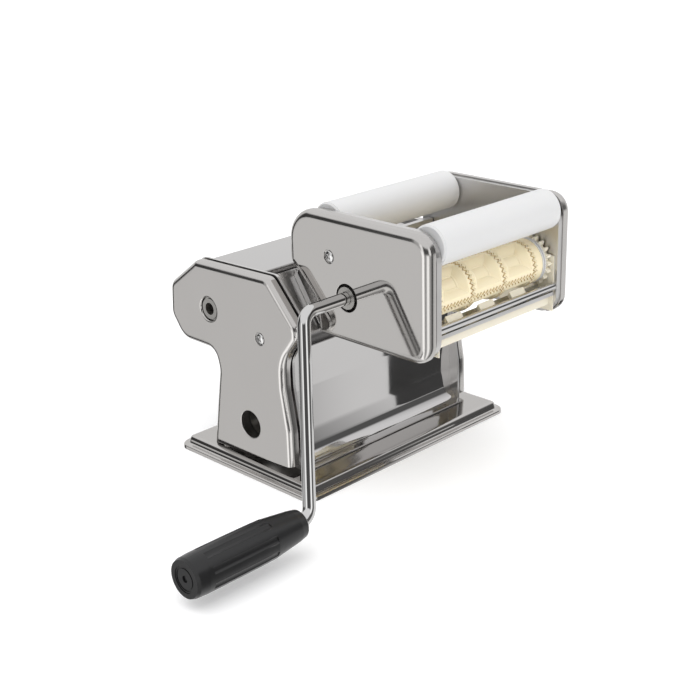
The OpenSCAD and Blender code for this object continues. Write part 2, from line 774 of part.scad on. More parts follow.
module thickness_dial() {
    color(black)
    difference() {
        union() {
            rod(knob_x, knob_x + dial_skirt, front_roller_y, roller_z, dial_r);
            rod(knob_x + dial_skirt, knob_x + knob_t, front_roller_y, roller_z,
                dial_r - flange_out);
        }
        rod(knob_x - over, knob_x + knob_t / 2, front_roller_y, roller_z, dial_shaft_r);
        for (k = [0 : dial_ribs - 1])
            translate([0, front_roller_y, roller_z])
                rotate([360 * k / dial_ribs, 0, 0])
                    rod(knob_x + dial_skirt + rib_r, knob_x + knob_t + over, 0,
                        dial_r - flange_out + rib_r / 3, rib_r);
        box(knob_x + knob_t - pointer_w / 2, knob_x + knob_t + over,
            front_roller_y - pointer_w / 2, front_roller_y + pointer_w / 2, roller_z,
            roller_z + dial_r - 3 * flange_out);
    }
}

// Head covers and frames
head_screw_shares = [0.5525, 0.2307];
head_screw_y = head_y + head_h * head_screw_shares[0];
head_screw_z = die_z + head_h * head_screw_shares[1];
head_hole_r = 9.2;
hub_ring_r = 7.4;
hub_out = 0.4;
head_arc_steps = 8;
module head_cover() {
    difference() {
        drawn_cover(head_outline, head_rim_x, head_face_x, head_edge_r, 0, head_arc_steps,
            [hub_y - head_h / 8, die_z]);
        rod(head_rim_x, head_face_x + over, head_screw_y, head_screw_z, screw_r);
    }
}
module head_crank_cover() {
    color(steel)
    difference() {
        mirror([1, 0, 0])
            head_cover();
        rod(-head_face_x - over, -head_rim_x, hub_y, hub_z, head_hole_r);
    }
}
module head_far_cover() {
    color(steel)
        head_cover();
}
module head_cover_screws() {
    color(bright)
    both_sides()
        pan_screw(head_face_x, head_in_x, head_screw_y, head_screw_z);
}
die_shaft_r = 4;
tie_bar_r = 2.7;
head_tie_shares = [-0.4137, -0.192];
head_tie_y = head_y + head_h * head_tie_shares[0];
head_tie_z = die_z + head_h * head_tie_shares[1];
socket_shaft_r = 4.6;
module head_frame() {
    difference() {
        across(head_in_x, head_frame_x)
            polygon(rounded(head_frame_outline, 8));
        for (y = [front_die_y, rear_die_y])
            rod(head_in_x - over, head_frame_x + over, y, die_z, die_shaft_r + run_gap);
        for (y = [front_guide_y, rear_guide_y])
            rod(head_in_x - over, head_frame_x + over, y, guide_z, small_pin_r);
        rod(head_in_x - over, head_frame_x + over, head_screw_y, head_screw_z, screw_r);
        rod(head_in_x - over, head_frame_x + over, head_tie_y, head_tie_z, tie_bar_r - sheet);
    }
}
module head_crank_frame() {
    color(steel)
    difference() {
        mirror([1, 0, 0])
            head_frame();
        rod(-head_frame_x - over, -head_in_x + over, hub_y, hub_z, socket_shaft_r + run_gap);
    }
}
module head_far_frame() {
    color(steel)
        head_frame();
}
cheek_shares = [[-0.42, -0.4], [0.62, -0.4], [0.86, -0.06], [0.86, 0.06], [-0.42, 0.06]];
module head_cheeks() {
    color(cream)
    difference() {
        both_sides()
            translate([0, head_y, die_z])
                across(cheek_in_x, head_in_x)
                    polygon(cheek_shares * head_h);
        for (y = [front_die_y, rear_die_y])
            rod(-head_w, head_w, y, die_z, die_shaft_r + part_gap);
        rod(-head_w, -cheek_in_x + over, hub_y, hub_z, socket_shaft_r + part_gap);
        rod(-head_w, head_w, head_tie_y, head_tie_z, tie_bar_r);
    }
}
module head_tie_rod() {
    color(bright) {
        rod(-head_in_x, head_in_x, head_tie_y, head_tie_z, tie_bar_r);
        both_sides()
            rod(head_in_x, head_frame_x, head_tie_y, head_tie_z, tie_bar_r - sheet);
    }
}

// Steel rails across the head: one below the tie rod, one at the top rear
front_rail_shares = [-0.43, -0.262, 0.044, 0.0314];
rear_rail_shares = [0.86, 0.1159, 0.0507, 0.0435];
module head_rails() {
    color(steel)
    for (s = [front_rail_shares, rear_rail_shares])
        box(-cheek_in_x, cheek_in_x, head_y + head_h * s[0], head_y + head_h * (s[0] + s[2]),
            die_z + head_h * s[1], die_z + head_h * (s[1] + s[3]));
}

// White guide rollers on pins through both head frames
guide_len = 2 * (head_in_x - part_gap);
guide_edge = 1.2;
module guide_roller(y) {
    half = guide_len / 2;
    translate([-half, y, guide_z])
        rotate([0, 90, 0])
            rotate_extrude()
                polygon([
                    [small_pin_r + run_gap, 0], [guide_r - guide_edge, 0], [guide_r, guide_edge],
                    [guide_r, guide_len - guide_edge], [guide_r - guide_edge, guide_len],
                    [small_pin_r + run_gap, guide_len]
                ]);
}
module front_guide_roller() {
    color(white)
        guide_roller(front_guide_y);
}
module rear_guide_roller() {
    color(white)
        guide_roller(rear_guide_y);
}
module guide_roller_pins() {
    color(bright)
    for (y = [front_guide_y, rear_guide_y])
        rod(-head_frame_x, head_frame_x, y, guide_z, small_pin_r);
}

// Die rollers: moulds between zig-zag cutting ridges, on shafts with collars and gears
die_far_x = cheek_in_x - part_gap;
die_gear_t = 4;
collar_t = 3;
die_gear_x = die_far_x - die_gear_t;
collar_x = die_gear_x - collar_t;
die_len = collar_x + cheek_in_x - part_gap;
die_near_x = -cheek_in_x + part_gap;
valley_r = die_r - 2.2;
band_r = die_r - 0.9;
ridge_w = 1.5;
ridge_sway = 1.1;
teeth_per_mould = 10;
ridge_margin = 3.4;
ridge_gap = 0.3;
floor_share = 0.42;
mouth_share = 0.76;
band_share = 0.86;
mould_turn = 360 / mould_rows;
ridge_x0 = die_near_x + ridge_margin;
mould_arc = 2 * PI * die_r / mould_rows;
mould_w = min(mould_pitch, mould_arc);
function ring_point(x, r, a) = [x, r * cos(a), r * sin(a)];

// A closed bar through stations of four corners each
module ring_ridge(x, turn) {
    n = 2 * teeth_per_mould * mould_rows;
    pts = [for (k = [0 : n - 1])
        let (a = turn + 360 * (k + 0.5) / n, s = x + (k % 2 == 0 ? ridge_sway : -ridge_sway))
        each [ring_point(s - ridge_w, valley_r - over, a), ring_point(s - ridge_w / 2, die_r, a),
            ring_point(s + ridge_w / 2, die_r, a), ring_point(s + ridge_w, valley_r - over, a)]];
    faces = [for (k = [0 : n - 1], c = [0 : 3])
        let (a = 4 * k + c, b = 4 * k + (c + 1) % 4, e = 4 * ((k + 1) % n) + c,
            f = 4 * ((k + 1) % n) + (c + 1) % 4)
        each [[a, b, f], [a, f, e]]];
    polyhedron(points = pts, faces = faces, convexity = 6);
}
module bar_ridge(x0, turn) {
    n = 2 * teeth_per_mould - 2;
    bar_sway = ridge_sway / die_r * 180 / PI;
    foot_turn = ridge_w / valley_r * 180 / PI;
    top_turn = ridge_w / die_r * 90 / PI;
    free = ridge_w + ridge_sway + ridge_gap;
    step = (mould_pitch - 2 * free) / n;
    pts = [for (k = [0 : n])
        let (x = x0 + free + k * step, a = turn + (k % 2 == 0 ? bar_sway : -bar_sway))
        each [ring_point(x, valley_r - over, a - foot_turn), ring_point(x, die_r, a - top_turn),
            ring_point(x, die_r, a + top_turn), ring_point(x, valley_r - over, a + foot_turn)]];
    sides = [for (k = [0 : n - 1], c = [0 : 3])
        let (a = 4 * k + c, b = 4 * k + (c + 1) % 4)
        each [[a, b + 4, b], [a, a + 4, b + 4]]];
    ends = [[0, 1, 2], [0, 2, 3], [4 * n, 4 * n + 2, 4 * n + 1], [4 * n, 4 * n + 3, 4 * n + 2]];
    polyhedron(points = pts, faces = concat(sides, ends), convexity = 6);
}
module mould_cut() {
    low = mould_w * floor_share / 2;
    top = mould_w * mouth_share / 2;
    lift = die_r - mould_depth;
    rise = over + mould_depth;
    wide = top + (top - low) * over / mould_depth;
    polyhedron(points = [[-low, -low, lift], [low, -low, lift], [low, low, lift],
        [-low, low, lift], [-wide, -wide, lift + rise], [wide, -wide, lift + rise],
        [wide, wide, lift + rise], [-wide, wide, lift + rise]],
        faces = [[0, 1, 2, 3], [4, 5, 1, 0], [7, 6, 5, 4], [5, 6, 2, 1], [6, 7, 3, 2],
            [7, 4, 0, 3]]);
}
module die(y, turn) {
    band = mould_w * band_share / 2;
    translate([0, y, die_z])
        difference() {
            union() {
                rod(die_near_x, collar_x, 0, 0, valley_r);
                for (c = [0 : mould_columns])
                    ring_ridge(ridge_x0 + c * mould_pitch, turn);
                for (c = [0 : mould_columns - 1], k = [0 : mould_rows - 1])
                    bar_ridge(ridge_x0 + c * mould_pitch, turn + k * mould_turn);
                for (c = [0 : mould_columns - 1])
                    rod(ridge_x0 + (c + 0.5) * mould_pitch - band,
                        ridge_x0 + (c + 0.5) * mould_pitch + band, 0, 0, band_r);
            }
            for (c = [0 : mould_columns - 1], k = [0 : mould_rows - 1])
                mould_place(c, turn + (k + 0.5) * mould_turn)
                    mould_cut();
            rod(die_near_x - over, collar_x + over, 0, 0, die_shaft_r);
        }
}
module mould_place(c, turn) {
    translate([ridge_x0 + (c + 0.5) * mould_pitch, 0, 0])
        rotate([turn - 90, 0, 0])
            children();
}
front_die_turn = 78;
rear_die_turn = 180 - front_die_turn;
module front_die() {
    color(cream)
        die(front_die_y, front_die_turn);
}
module rear_die() {
    color(cream)
        die(rear_die_y, rear_die_turn);
}
module front_die_shaft() {
    color(bright)
        rod(-head_frame_x, head_frame_x, front_die_y, die_z, die_shaft_r);
}
module rear_die_shaft() {
    color(bright)
        rod(-gear_out_x - sheet, head_frame_x, rear_die_y, die_z, die_shaft_r);
}
collar_r = die_r - 0.3;
groove = 0.8;
module die_collar(y) {
    color(white)
    union() {
        tube(collar_x, collar_x + collar_t / 3, y, die_z, collar_r, die_shaft_r);
        tube(collar_x, collar_x + collar_t * 2 / 3, y, die_z, collar_r - groove, die_shaft_r);
        tube(collar_x + collar_t * 2 / 3, die_gear_x, y, die_z, collar_r, die_shaft_r);
    }
}
module front_die_collar() {
    die_collar(front_die_y);
}
module rear_die_collar() {
    die_collar(rear_die_y);
}
module front_die_gear() {
    color(cream)
        gear(die_module, die_teeth, 0, die_gear_x, die_far_x, front_die_y, die_z,
            die_shaft_r);
}
module rear_die_gear() {
    color(cream)
        gear(die_module, die_teeth, 180 + 180 / die_teeth, die_gear_x, die_far_x, rear_die_y,
            die_z, die_shaft_r);
}

// Small gears behind the crank side cover, from the socket to the rear die
gear_out_x = head_frame_x + part_gap + side_gear_t;
socket_turn = mesh_turn(hub_y, hub_z, rear_die_y, die_z);
module socket_pinion() {
    color(steel)
        gear(socket_module, socket_teeth, socket_turn, -gear_out_x, -gear_out_x + side_gear_t,
            hub_y, hub_z, socket_shaft_r);
}
module die_input_gear() {
    color(steel)
        gear(socket_module, die_input_teeth, socket_turn + 180 + 180 / die_input_teeth,
            -gear_out_x, -gear_out_x + side_gear_t, rear_die_y, die_z, die_shaft_r);
}
tip_r = 3.1;
tip_len = 9;
socket_lip = 3;
socket_x = head_face_x + hub_out;
module crank_socket() {
    color(bright)
    difference() {
        union() {
            rod(-socket_x, -socket_x + socket_lip + sheet, hub_y, hub_z, hub_ring_r);
            rod(-head_face_x, -cheek_in_x, hub_y, hub_z, socket_shaft_r);
        }
        rod(-socket_x - over, -socket_x + socket_lip, hub_y, hub_z, rod_d / 2 + slide_gap);
        rod(-socket_x - over, -socket_x + socket_lip + tip_len, hub_y, hub_z,
            tip_r + slide_gap);
        box(-socket_x - over, -socket_x + socket_lip + tip_len, hub_y - key_w / 2 - slide_gap,
            hub_y + key_w / 2 + slide_gap, hub_z, hub_z + tip_r + key_depth + slide_gap);
    }
}

// Combs that peel the ravioli off the dies: a strip with tongues between the ridges
comb_gap = 0.5;
comb_slot = 17;
module comb(dir) {
    tip_y = (die_r + comb_gap) * cos(comb_tip_turn);
    tip_z = (die_r + comb_gap) * sin(comb_tip_turn);
    tongue = (die_dist / 2 + tip_y) * dir;
    root_y = dir * (die_dist / 2 + comb_root);
    translate([0, head_y, die_z])
        difference() {
            across(-cheek_in_x, cheek_in_x)
                polygon([
                    [root_y, -comb_low], [root_y, -comb_low + comb_strip],
                    [root_y, -tip_z - 2 * comb_t], [tongue, -tip_z],
                    [tongue - dir * comb_t / 2, -tip_z - comb_t],
                    [root_y - dir * comb_t, -tip_z - 3.5 * comb_t],
                    [root_y - dir * comb_t, -comb_low + comb_strip],
                    [root_y - dir * comb_back, -comb_low + comb_strip],
                    [root_y - dir * comb_back, -comb_low]
                ]);
            for (c = [0 : mould_columns])
                box(ridge_x0 + c * mould_pitch - comb_slot / 2,
                    ridge_x0 + c * mould_pitch + comb_slot / 2, -head_h, head_h,
                    -comb_low + comb_strip, 0);
            box(collar_x - part_gap, cheek_in_x + over, -head_h, head_h,
                -comb_low + comb_strip, 0);
        }
}
comb_tip_turn = 43;
comb_root = 15.2;
comb_low = 28.8;
comb_strip = 6.4;
comb_t = 2;
comb_back = 9;
module front_comb() {
    color(cream)
        comb(-1);
}
module rear_comb() {
    color(cream)
        comb(1);
}

// Crank rod with two bends, and the grip that turns on its lower leg
arm_dir = [-sin(arm_slant), -cos(arm_slant) * sin(arm_swing), -cos(arm_slant) * cos(arm_swing)];
leg_dir = [-1, 0, 0];
top_corner = [-arm_x, hub_y, hub_z];
low_corner = top_corner + arm_dir * arm_len;
bend_turn = acos(arm_dir * leg_dir);
bend_reach = bend_r * tan(bend_turn / 2);
grip_x = low_corner[0] - bend_reach - part_gap;
sweep_sides = 32;
bend_steps = 8;
skin = 0.02;
arm_normal = unit(cross(leg_dir, arm_dir));
function arc_stations(corner, u, w) =
    let (n = unit(w - u * (u * w)), c = corner - u * bend_reach + n * bend_r)
    [for (k = [0 : bend_steps])
        let (a = bend_turn * k / bend_steps)
        [c + bend_r * (u * sin(a) - n * cos(a)), n * sin(a) + u * cos(a)]];
module sweep(stations, r) {
    n = sweep_sides;
    m = len(stations) - 1;
    pts = [for (s = stations, k = [0 : n - 1])
        let (a = 360 * k / n, x = arm_normal, y = cross(s[1], x))
        s[0] + r * (x * cos(a) + y * sin(a))];
    sides = [for (i = [0 : m - 1], k = [0 : n - 1])
        let (a = i * n + k, b = i * n + (k + 1) % n)
        each [[a, a + n, b + n], [a, b + n, b]]];
    ends = [[for (k = [0 : n - 1]) k], [for (k = [n - 1 : -1 : 0]) m * n + k]];
    polyhedron(points = pts, faces = concat(sides, ends), convexity = 6);
}
seat_x = -socket_x + socket_lip - slide_gap;
cap_t = 3;
rod_end_x = grip_x - grip_len + cap_t;
module crank_rod() {
    r = rod_d / 2;
    color(bright) {
        rod(top_corner[0] + bend_reach, seat_x, hub_y, hub_z, r);
        sweep(concat([[top_corner - leg_dir * (bend_reach + over), leg_dir]],
            arc_stations(top_corner, leg_dir, arm_dir),
            arc_stations(low_corner, arm_dir, leg_dir),
            [[low_corner + leg_dir * (bend_reach + over), leg_dir]]), r - skin);
        rod(rod_end_x, low_corner[0] - bend_reach, low_corner[1], low_corner[2], r);
        rod(seat_x - over, seat_x + tip_len - part_gap, hub_y, hub_z, tip_r);
        box(seat_x - over, seat_x + tip_len - part_gap, hub_y - key_w / 2, hub_y + key_w / 2,
            hub_z, hub_z + tip_r + key_depth);
    }
}
grip_shares = [
    [0, 0.62], [0.012, 0.7], [0.07, 0.78], [0.17, 0.86], [0.31, 0.975], [0.42, 0.99],
    [0.6, 1], [0.8, 1], [0.9, 0.995], [0.975, 0.965], [1, 0.9]
];
flute_r = 4.2;
flute_depth = 0.9;
flute_shares = [0.31, 0.86];
module crank_grip() {
    color(black)
    difference() {
        translate([grip_x, low_corner[1], low_corner[2]])
            rotate([0, -90, 0])
                difference() {
                    rotate_extrude()
                        polygon(concat([[rod_d / 2 + run_gap, 0]],
                            [for (s = grip_shares) [s[1] * grip_r, s[0] * grip_len]],
                            [[cap_seat_r, grip_len], [cap_seat_r, grip_len - cap_t],
                                [rod_d / 2 + run_gap, grip_len - cap_t]]));
                    for (k = [0 : grip_flutes - 1])
                        rotate([0, 0, 360 * (k + 0.5) / grip_flutes])
                            translate([grip_r + flute_r - flute_depth, 0,
                                grip_len * flute_shares[0]])
                                cylinder(r = flute_r, h = grip_len
                                    * (flute_shares[1] - flute_shares[0]));
                }
    }
}
cap_seat_r = 8.5;
dimple_r = 2.2;
module grip_cap() {
    color(black)
    translate([grip_x - grip_len + cap_t, low_corner[1], low_corner[2]])
        rotate([0, -90, 0])
            difference() {
                cylinder(r = cap_seat_r - run_gap / 2, h = cap_t - part_gap);
                translate([0, 0, cap_t - part_gap - over])
                    cylinder(r = dimple_r, h = 2 * over);
                translate([0, 0, cap_t - part_gap * 2])
                    difference() {
                        cylinder(r = cap_seat_r - over, h = over);
                        translate([0, 0, -over])
                            cylinder(r = cap_seat_r - 2 * over, h = 3 * over);
                    }
            }
}

base_plate();
rubber_feet();
crank_side_frame();
dial_side_frame();
crank_side_cover();
dial_side_cover();
stand_cover_screws();
base_rivets();
front_guard();
front_apron();
feed_plate();
rear_hood();
outlet_guide();
stand_tie_rods();
clamp_tube();
attachment_rails();
rear_scraper();
dial_bearing();
drive_shaft();
drive_pinion();
rear_dough_roller();
roller_input_gear();
rear_roller_gear();
front_dough_roller();
front_roller_gear();
sliding_bearings();
front_scraper();
thickness_cam();
thickness_dial();
head_crank_cover();
head_far_cover();
head_crank_frame();
head_far_frame();
head_cheeks();
head_bracket();
head_cover_screws();
guide_roller_pins();
front_guide_roller();
rear_guide_roller();
front_comb();
rear_comb();
head_tie_rod();
head_rails();
front_die();
front_die_shaft();
front_die_gear();
front_die_collar();
rear_die();
rear_die_shaft();
rear_die_gear();
rear_die_collar();
die_input_gear();
crank_socket();
socket_pinion();
crank_rod();
crank_grip();
grip_cap();
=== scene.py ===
import json
import math

import bmesh
import bpy
from mathutils import Matrix, Vector
from mathutils.geometry import tessellate_polygon


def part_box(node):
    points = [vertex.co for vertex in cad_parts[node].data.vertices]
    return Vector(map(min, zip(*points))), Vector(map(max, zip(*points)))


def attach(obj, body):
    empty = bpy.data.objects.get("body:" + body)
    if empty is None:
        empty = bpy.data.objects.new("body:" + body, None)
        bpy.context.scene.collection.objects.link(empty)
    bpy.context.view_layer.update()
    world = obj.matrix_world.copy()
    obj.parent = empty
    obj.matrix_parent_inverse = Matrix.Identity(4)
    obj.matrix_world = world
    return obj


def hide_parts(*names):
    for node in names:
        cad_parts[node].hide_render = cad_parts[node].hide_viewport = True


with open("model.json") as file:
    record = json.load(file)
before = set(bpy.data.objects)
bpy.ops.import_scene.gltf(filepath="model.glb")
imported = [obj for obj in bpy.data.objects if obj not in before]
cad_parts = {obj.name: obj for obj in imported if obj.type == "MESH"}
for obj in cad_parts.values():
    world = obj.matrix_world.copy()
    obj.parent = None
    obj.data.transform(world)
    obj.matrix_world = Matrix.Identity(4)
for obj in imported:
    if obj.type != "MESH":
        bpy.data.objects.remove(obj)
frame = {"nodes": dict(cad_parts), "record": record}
nodes = frame["nodes"]
BODY = {n: b for b, names in frame["record"]["behaviour"]["bodies"].items() for n in names}


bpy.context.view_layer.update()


# Materials: a plain shader whose roughness and surface follow fine noise
SMUDGE_SCALE, PATCH_SCALE = 35.0, 60.0
METAL_DEPTH, PLASTIC_DEPTH = 0.00002, 0.00003
SCATTER_RADIUS, SCATTER_SCALE = (0.004, 0.003, 0.0015), 0.6


def new_material(name):
    mat = bpy.data.materials.new(name)
    mat.use_nodes = True
    shader = mat.node_tree.nodes["Principled BSDF"]
    return mat, mat.node_tree.nodes, mat.node_tree.links, shader


def noise(tree_nodes, links, scale, detail, stretch=(1, 1, 1), rough=0.5):
    coord = tree_nodes.new("ShaderNodeTexCoord")
    mapping = tree_nodes.new("ShaderNodeMapping")
    mapping.inputs["Scale"].default_value = stretch
    tex = tree_nodes.new("ShaderNodeTexNoise")
    tex.inputs["Scale"].default_value = scale
    tex.inputs["Detail"].default_value = detail
    tex.inputs["Roughness"].default_value = rough
    links.new(coord.outputs["Object"], mapping.inputs["Vector"])
    links.new(mapping.outputs["Vector"], tex.inputs["Vector"])
    return tex


def ranged(tree_nodes, links, source, low, high, from_low=0.3, from_high=0.7):
    node = tree_nodes.new("ShaderNodeMapRange")
    node.inputs["From Min"].default_value = from_low
    node.inputs["From Max"].default_value = from_high
    node.inputs["To Min"].default_value = low
    node.inputs["To Max"].default_value = high
    links.new(source, node.inputs["Value"])
    return node.outputs["Result"]


def bumped(tree_nodes, links, shader, source, strength, distance):
    bump = tree_nodes.new("ShaderNodeBump")
    bump.inputs["Strength"].default_value = strength
    bump.inputs["Distance"].default_value = distance
    links.new(source, bump.inputs["Height"])
    links.new(bump.outputs["Normal"], shader.inputs["Normal"])


def metal(name, colour, rough, spread, grain=0.0, stretch=(1, 1, 1), scale=900.0):
    mat, tn, links, shader = new_material(name)
    shader.inputs["Base Color"].default_value = (*colour, 1)
    shader.inputs["Metallic"].default_value = 1
    smudge = noise(tn, links, SMUDGE_SCALE, 3.0)
    links.new(
        ranged(tn, links, smudge.outputs["Fac"], rough - spread, rough + spread),
        shader.inputs["Roughness"],
    )
    if grain:
        fine = noise(tn, links, scale, 2.0, stretch)
        bumped(tn, links, shader, fine.outputs["Fac"], grain, METAL_DEPTH)
    return mat


def plastic(name, colour, rough, spread=0.04, grain=0.15, scatter=0.0, scale=1500.0):
    mat, tn, links, shader = new_material(name)
    shader.inputs["Base Color"].default_value = (*colour, 1)
    fine = noise(tn, links, scale, 2.0)
    patch = noise(tn, links, PATCH_SCALE, 3.0)
    links.new(
        ranged(tn, links, patch.outputs["Fac"], rough - spread, rough + spread),
        shader.inputs["Roughness"],
    )
    if scatter:
        shader.inputs["Subsurface Weight"].default_value = scatter
        shader.inputs["Subsurface Radius"].default_value = SCATTER_RADIUS
        shader.inputs["Subsurface Scale"].default_value = SCATTER_SCALE
    bumped(tn, links, shader, fine.outputs["Fac"], grain, PLASTIC_DEPTH)
    return mat


satin = metal("satin steel", (0.51, 0.495, 0.48), 0.1, 0.02, 0.05)
polished = metal("polished cover steel", (0.53, 0.515, 0.5), 0.055, 0.012)
drawn = metal("drawn edge steel", (0.53, 0.515, 0.5), 0.17, 0.03, 0.3, (0.15, 1, 1), 500.0)
# Steel whose tint is raised above the other steels as a painted highlight, on the guard and the die leaves
guard_steel_painted_highlight = metal("guard steel with painted highlight", (0.72, 0.71, 0.7), 0.28, 0.03, 0.1)
mirror = metal("polished steel", (0.56, 0.55, 0.545), 0.06, 0.015)
chrome = metal("chromed steel", (0.62, 0.615, 0.61), 0.045, 0.01)
frame_steel = metal("frame steel", (0.66, 0.65, 0.64), 0.33, 0.04, 0.2)
gear_steel = metal("gear steel", (0.45, 0.44, 0.42), 0.35, 0.05, 0.2)
cream = plastic("cream plastic", (0.86, 0.76, 0.53), 0.36, scatter=0.12)
# A darker, browner cream that the die crevices carry as painted shade
cream_crevice_shade = plastic("cream with painted crevice shade", (0.6, 0.38, 0.11), 0.5)
cream_pale = plastic("pale cream plastic", (0.8, 0.75, 0.62), 0.4, scatter=0.08)
white = plastic("white plastic", (0.64, 0.64, 0.64), 0.45, scatter=0.03)
black = plastic("black plastic", (0.008, 0.008, 0.0085), 0.33, grain=0.3)
rubber = plastic("rubber", (0.02, 0.02, 0.02), 0.7)

FINISH = {
    "base_plate": satin,
    "rubber_feet": rubber,
    "crank_side_frame": frame_steel,
    "dial_side_frame": frame_steel,
    "crank_side_cover": satin,
    "dial_side_cover": satin,
    "stand_cover_screws": chrome,
    "base_rivets": chrome,
    "front_guard": guard_steel_painted_highlight,
    "front_apron": mirror,
    "feed_plate": mirror,
    "rear_hood": mirror,
    "outlet_guide": mirror,
    "stand_tie_rods": frame_steel,
    "clamp_tube": gear_steel,
    "attachment_rails": frame_steel,
    "rear_scraper": mirror,
    "front_scraper": mirror,
    "dial_bearing": black,
    "drive_shaft": gear_steel,
    "drive_pinion": gear_steel,
    "rear_dough_roller": chrome,
    "roller_input_gear": gear_steel,
    "rear_roller_gear": gear_steel,
    "front_dough_roller": chrome,
    "front_roller_gear": gear_steel,
    "sliding_bearings": gear_steel,
    "thickness_cam": gear_steel,
    "thickness_dial": black,
    "head_crank_cover": polished,
    "head_far_cover": polished,
    "head_crank_frame": frame_steel,
    "head_far_frame": frame_steel,
    "head_cheeks": cream_pale,
    "head_bracket": frame_steel,
    "head_cover_screws": chrome,
    "guide_roller_pins": chrome,
    "front_guide_roller": white,
    "rear_guide_roller": white,
    "front_comb": cream_pale,
    "rear_comb": cream_pale,
    "head_tie_rod": chrome,
    "head_rails": frame_steel,
    "front_die": cream,
    "front_die_shaft": chrome,
    "front_die_gear": cream_pale,
    "front_die_collar": white,
    "rear_die": cream,
    "rear_die_shaft": chrome,
    "rear_die_gear": cream_pale,
    "rear_die_collar": white,
    "die_input_gear": gear_steel,
    "crank_socket": gear_steel,
    "socket_pinion": gear_steel,
    "crank_rod": chrome,
    "crank_grip": black,
    "grip_cap": black,
}
for name, obj in nodes.items():
    obj.data.materials.clear()
    obj.data.materials.append(FINISH[name])


# Geometry helpers: places are in millimetres until piece() gets them in metres
MM = 1000


def box_of(node):
    """The two corners of a node's box in millimetres."""
    low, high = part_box(node)
    return Vector(low) * MM, Vector(high) * MM


def metres(points):
    return [(x / MM, y / MM, z / MM) for x, y, z in points]


def piece(name, verts, faces, mat, smooth=35.0):
    mesh = bpy.data.meshes.new(name)
    mesh.from_pydata([tuple(v) for v in verts], [], faces)
    mesh.validate()
    mesh.update()
    mesh.polygons.foreach_set("use_smooth", [True] * len(mesh.polygons))
    mesh.set_sharp_from_angle(angle=math.radians(smooth))
    mesh.materials.append(mat)
    obj = bpy.data.objects.new(name, mesh)
    bpy.context.scene.collection.objects.link(obj)
    return obj


def outward(obj):
    """Turns every face of a closed mesh outward."""
    bm = bmesh.new()
    bm.from_mesh(obj.data)
    bmesh.ops.recalc_face_normals(bm, faces=bm.faces[:])
    bm.to_mesh(obj.data)
    bm.free()


def stand_in(obj, node):
    """The piece rides on the node's body and is shown in its place."""
    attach(obj, BODY[node])
    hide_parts(node)


LEAST_R = 0.25


def inward(a, b):
    d = (b - a).normalized()
    return Vector((-d.y, d.x))


def moved_corners(corners, d):
    """Corners of an outline moved inward by d, each with its rounding."""
    out = []
    n = len(corners)
    for i, (y, z, r) in enumerate(corners):
        a, b, c = (Vector(corners[k % n][:2]) for k in (i - 1, i, i + 1))
        u, w = inward(a, b), inward(b, c)
        cross = (b - a).x * (c - b).y - (b - a).y * (c - b).x
        place = b + (u + w) / (1 + u.dot(w)) * d
        out.append((place.x, place.y, max(r + (-d if cross > 0 else d), LEAST_R)))
    return out


def corner_arc(a, b, c, r, steps):
    """Points of the arc of radius r that rounds the corner b between a and c."""
    u, w = (a - b).normalized(), (c - b).normalized()
    half = math.acos(max(-1, min(1, u.dot(w)))) / 2
    mid = b + (u + w).normalized() * (r / math.sin(half))
    s, e = b + u * (r / math.tan(half)) - mid, b + w * (r / math.tan(half)) - mid
    start = math.atan2(s.y, s.x)
    sweep = (math.atan2(e.y, e.x) - start + math.pi) % (2 * math.pi) - math.pi
    turns = [start + sweep * k / steps for k in range(steps + 1)]
    return [mid + Vector((math.cos(t), math.sin(t))) * r for t in turns]


def rounded(corners, steps):
    """A closed outline whose corners carry their own radius."""
    pts = []
    n = len(corners)
    for i, (y, z, r) in enumerate(corners):
        a, b, c = (Vector(corners[k % n][:2]) for k in (i - 1, i, i + 1))
        pts += corner_arc(a, b, c, r, steps)
    return pts


# Drawn covers
COVER_SHEET, COVER_SMOOTH = 1.0, 35
RIM_STEPS, CORNER_STEPS, HOLE_SIDES, LIP_STEPS = 10, 8, 64, 4
FLAT_GAP, LIP_GAP, LIP_DEPTH = 0.35, 0.2, 0.3


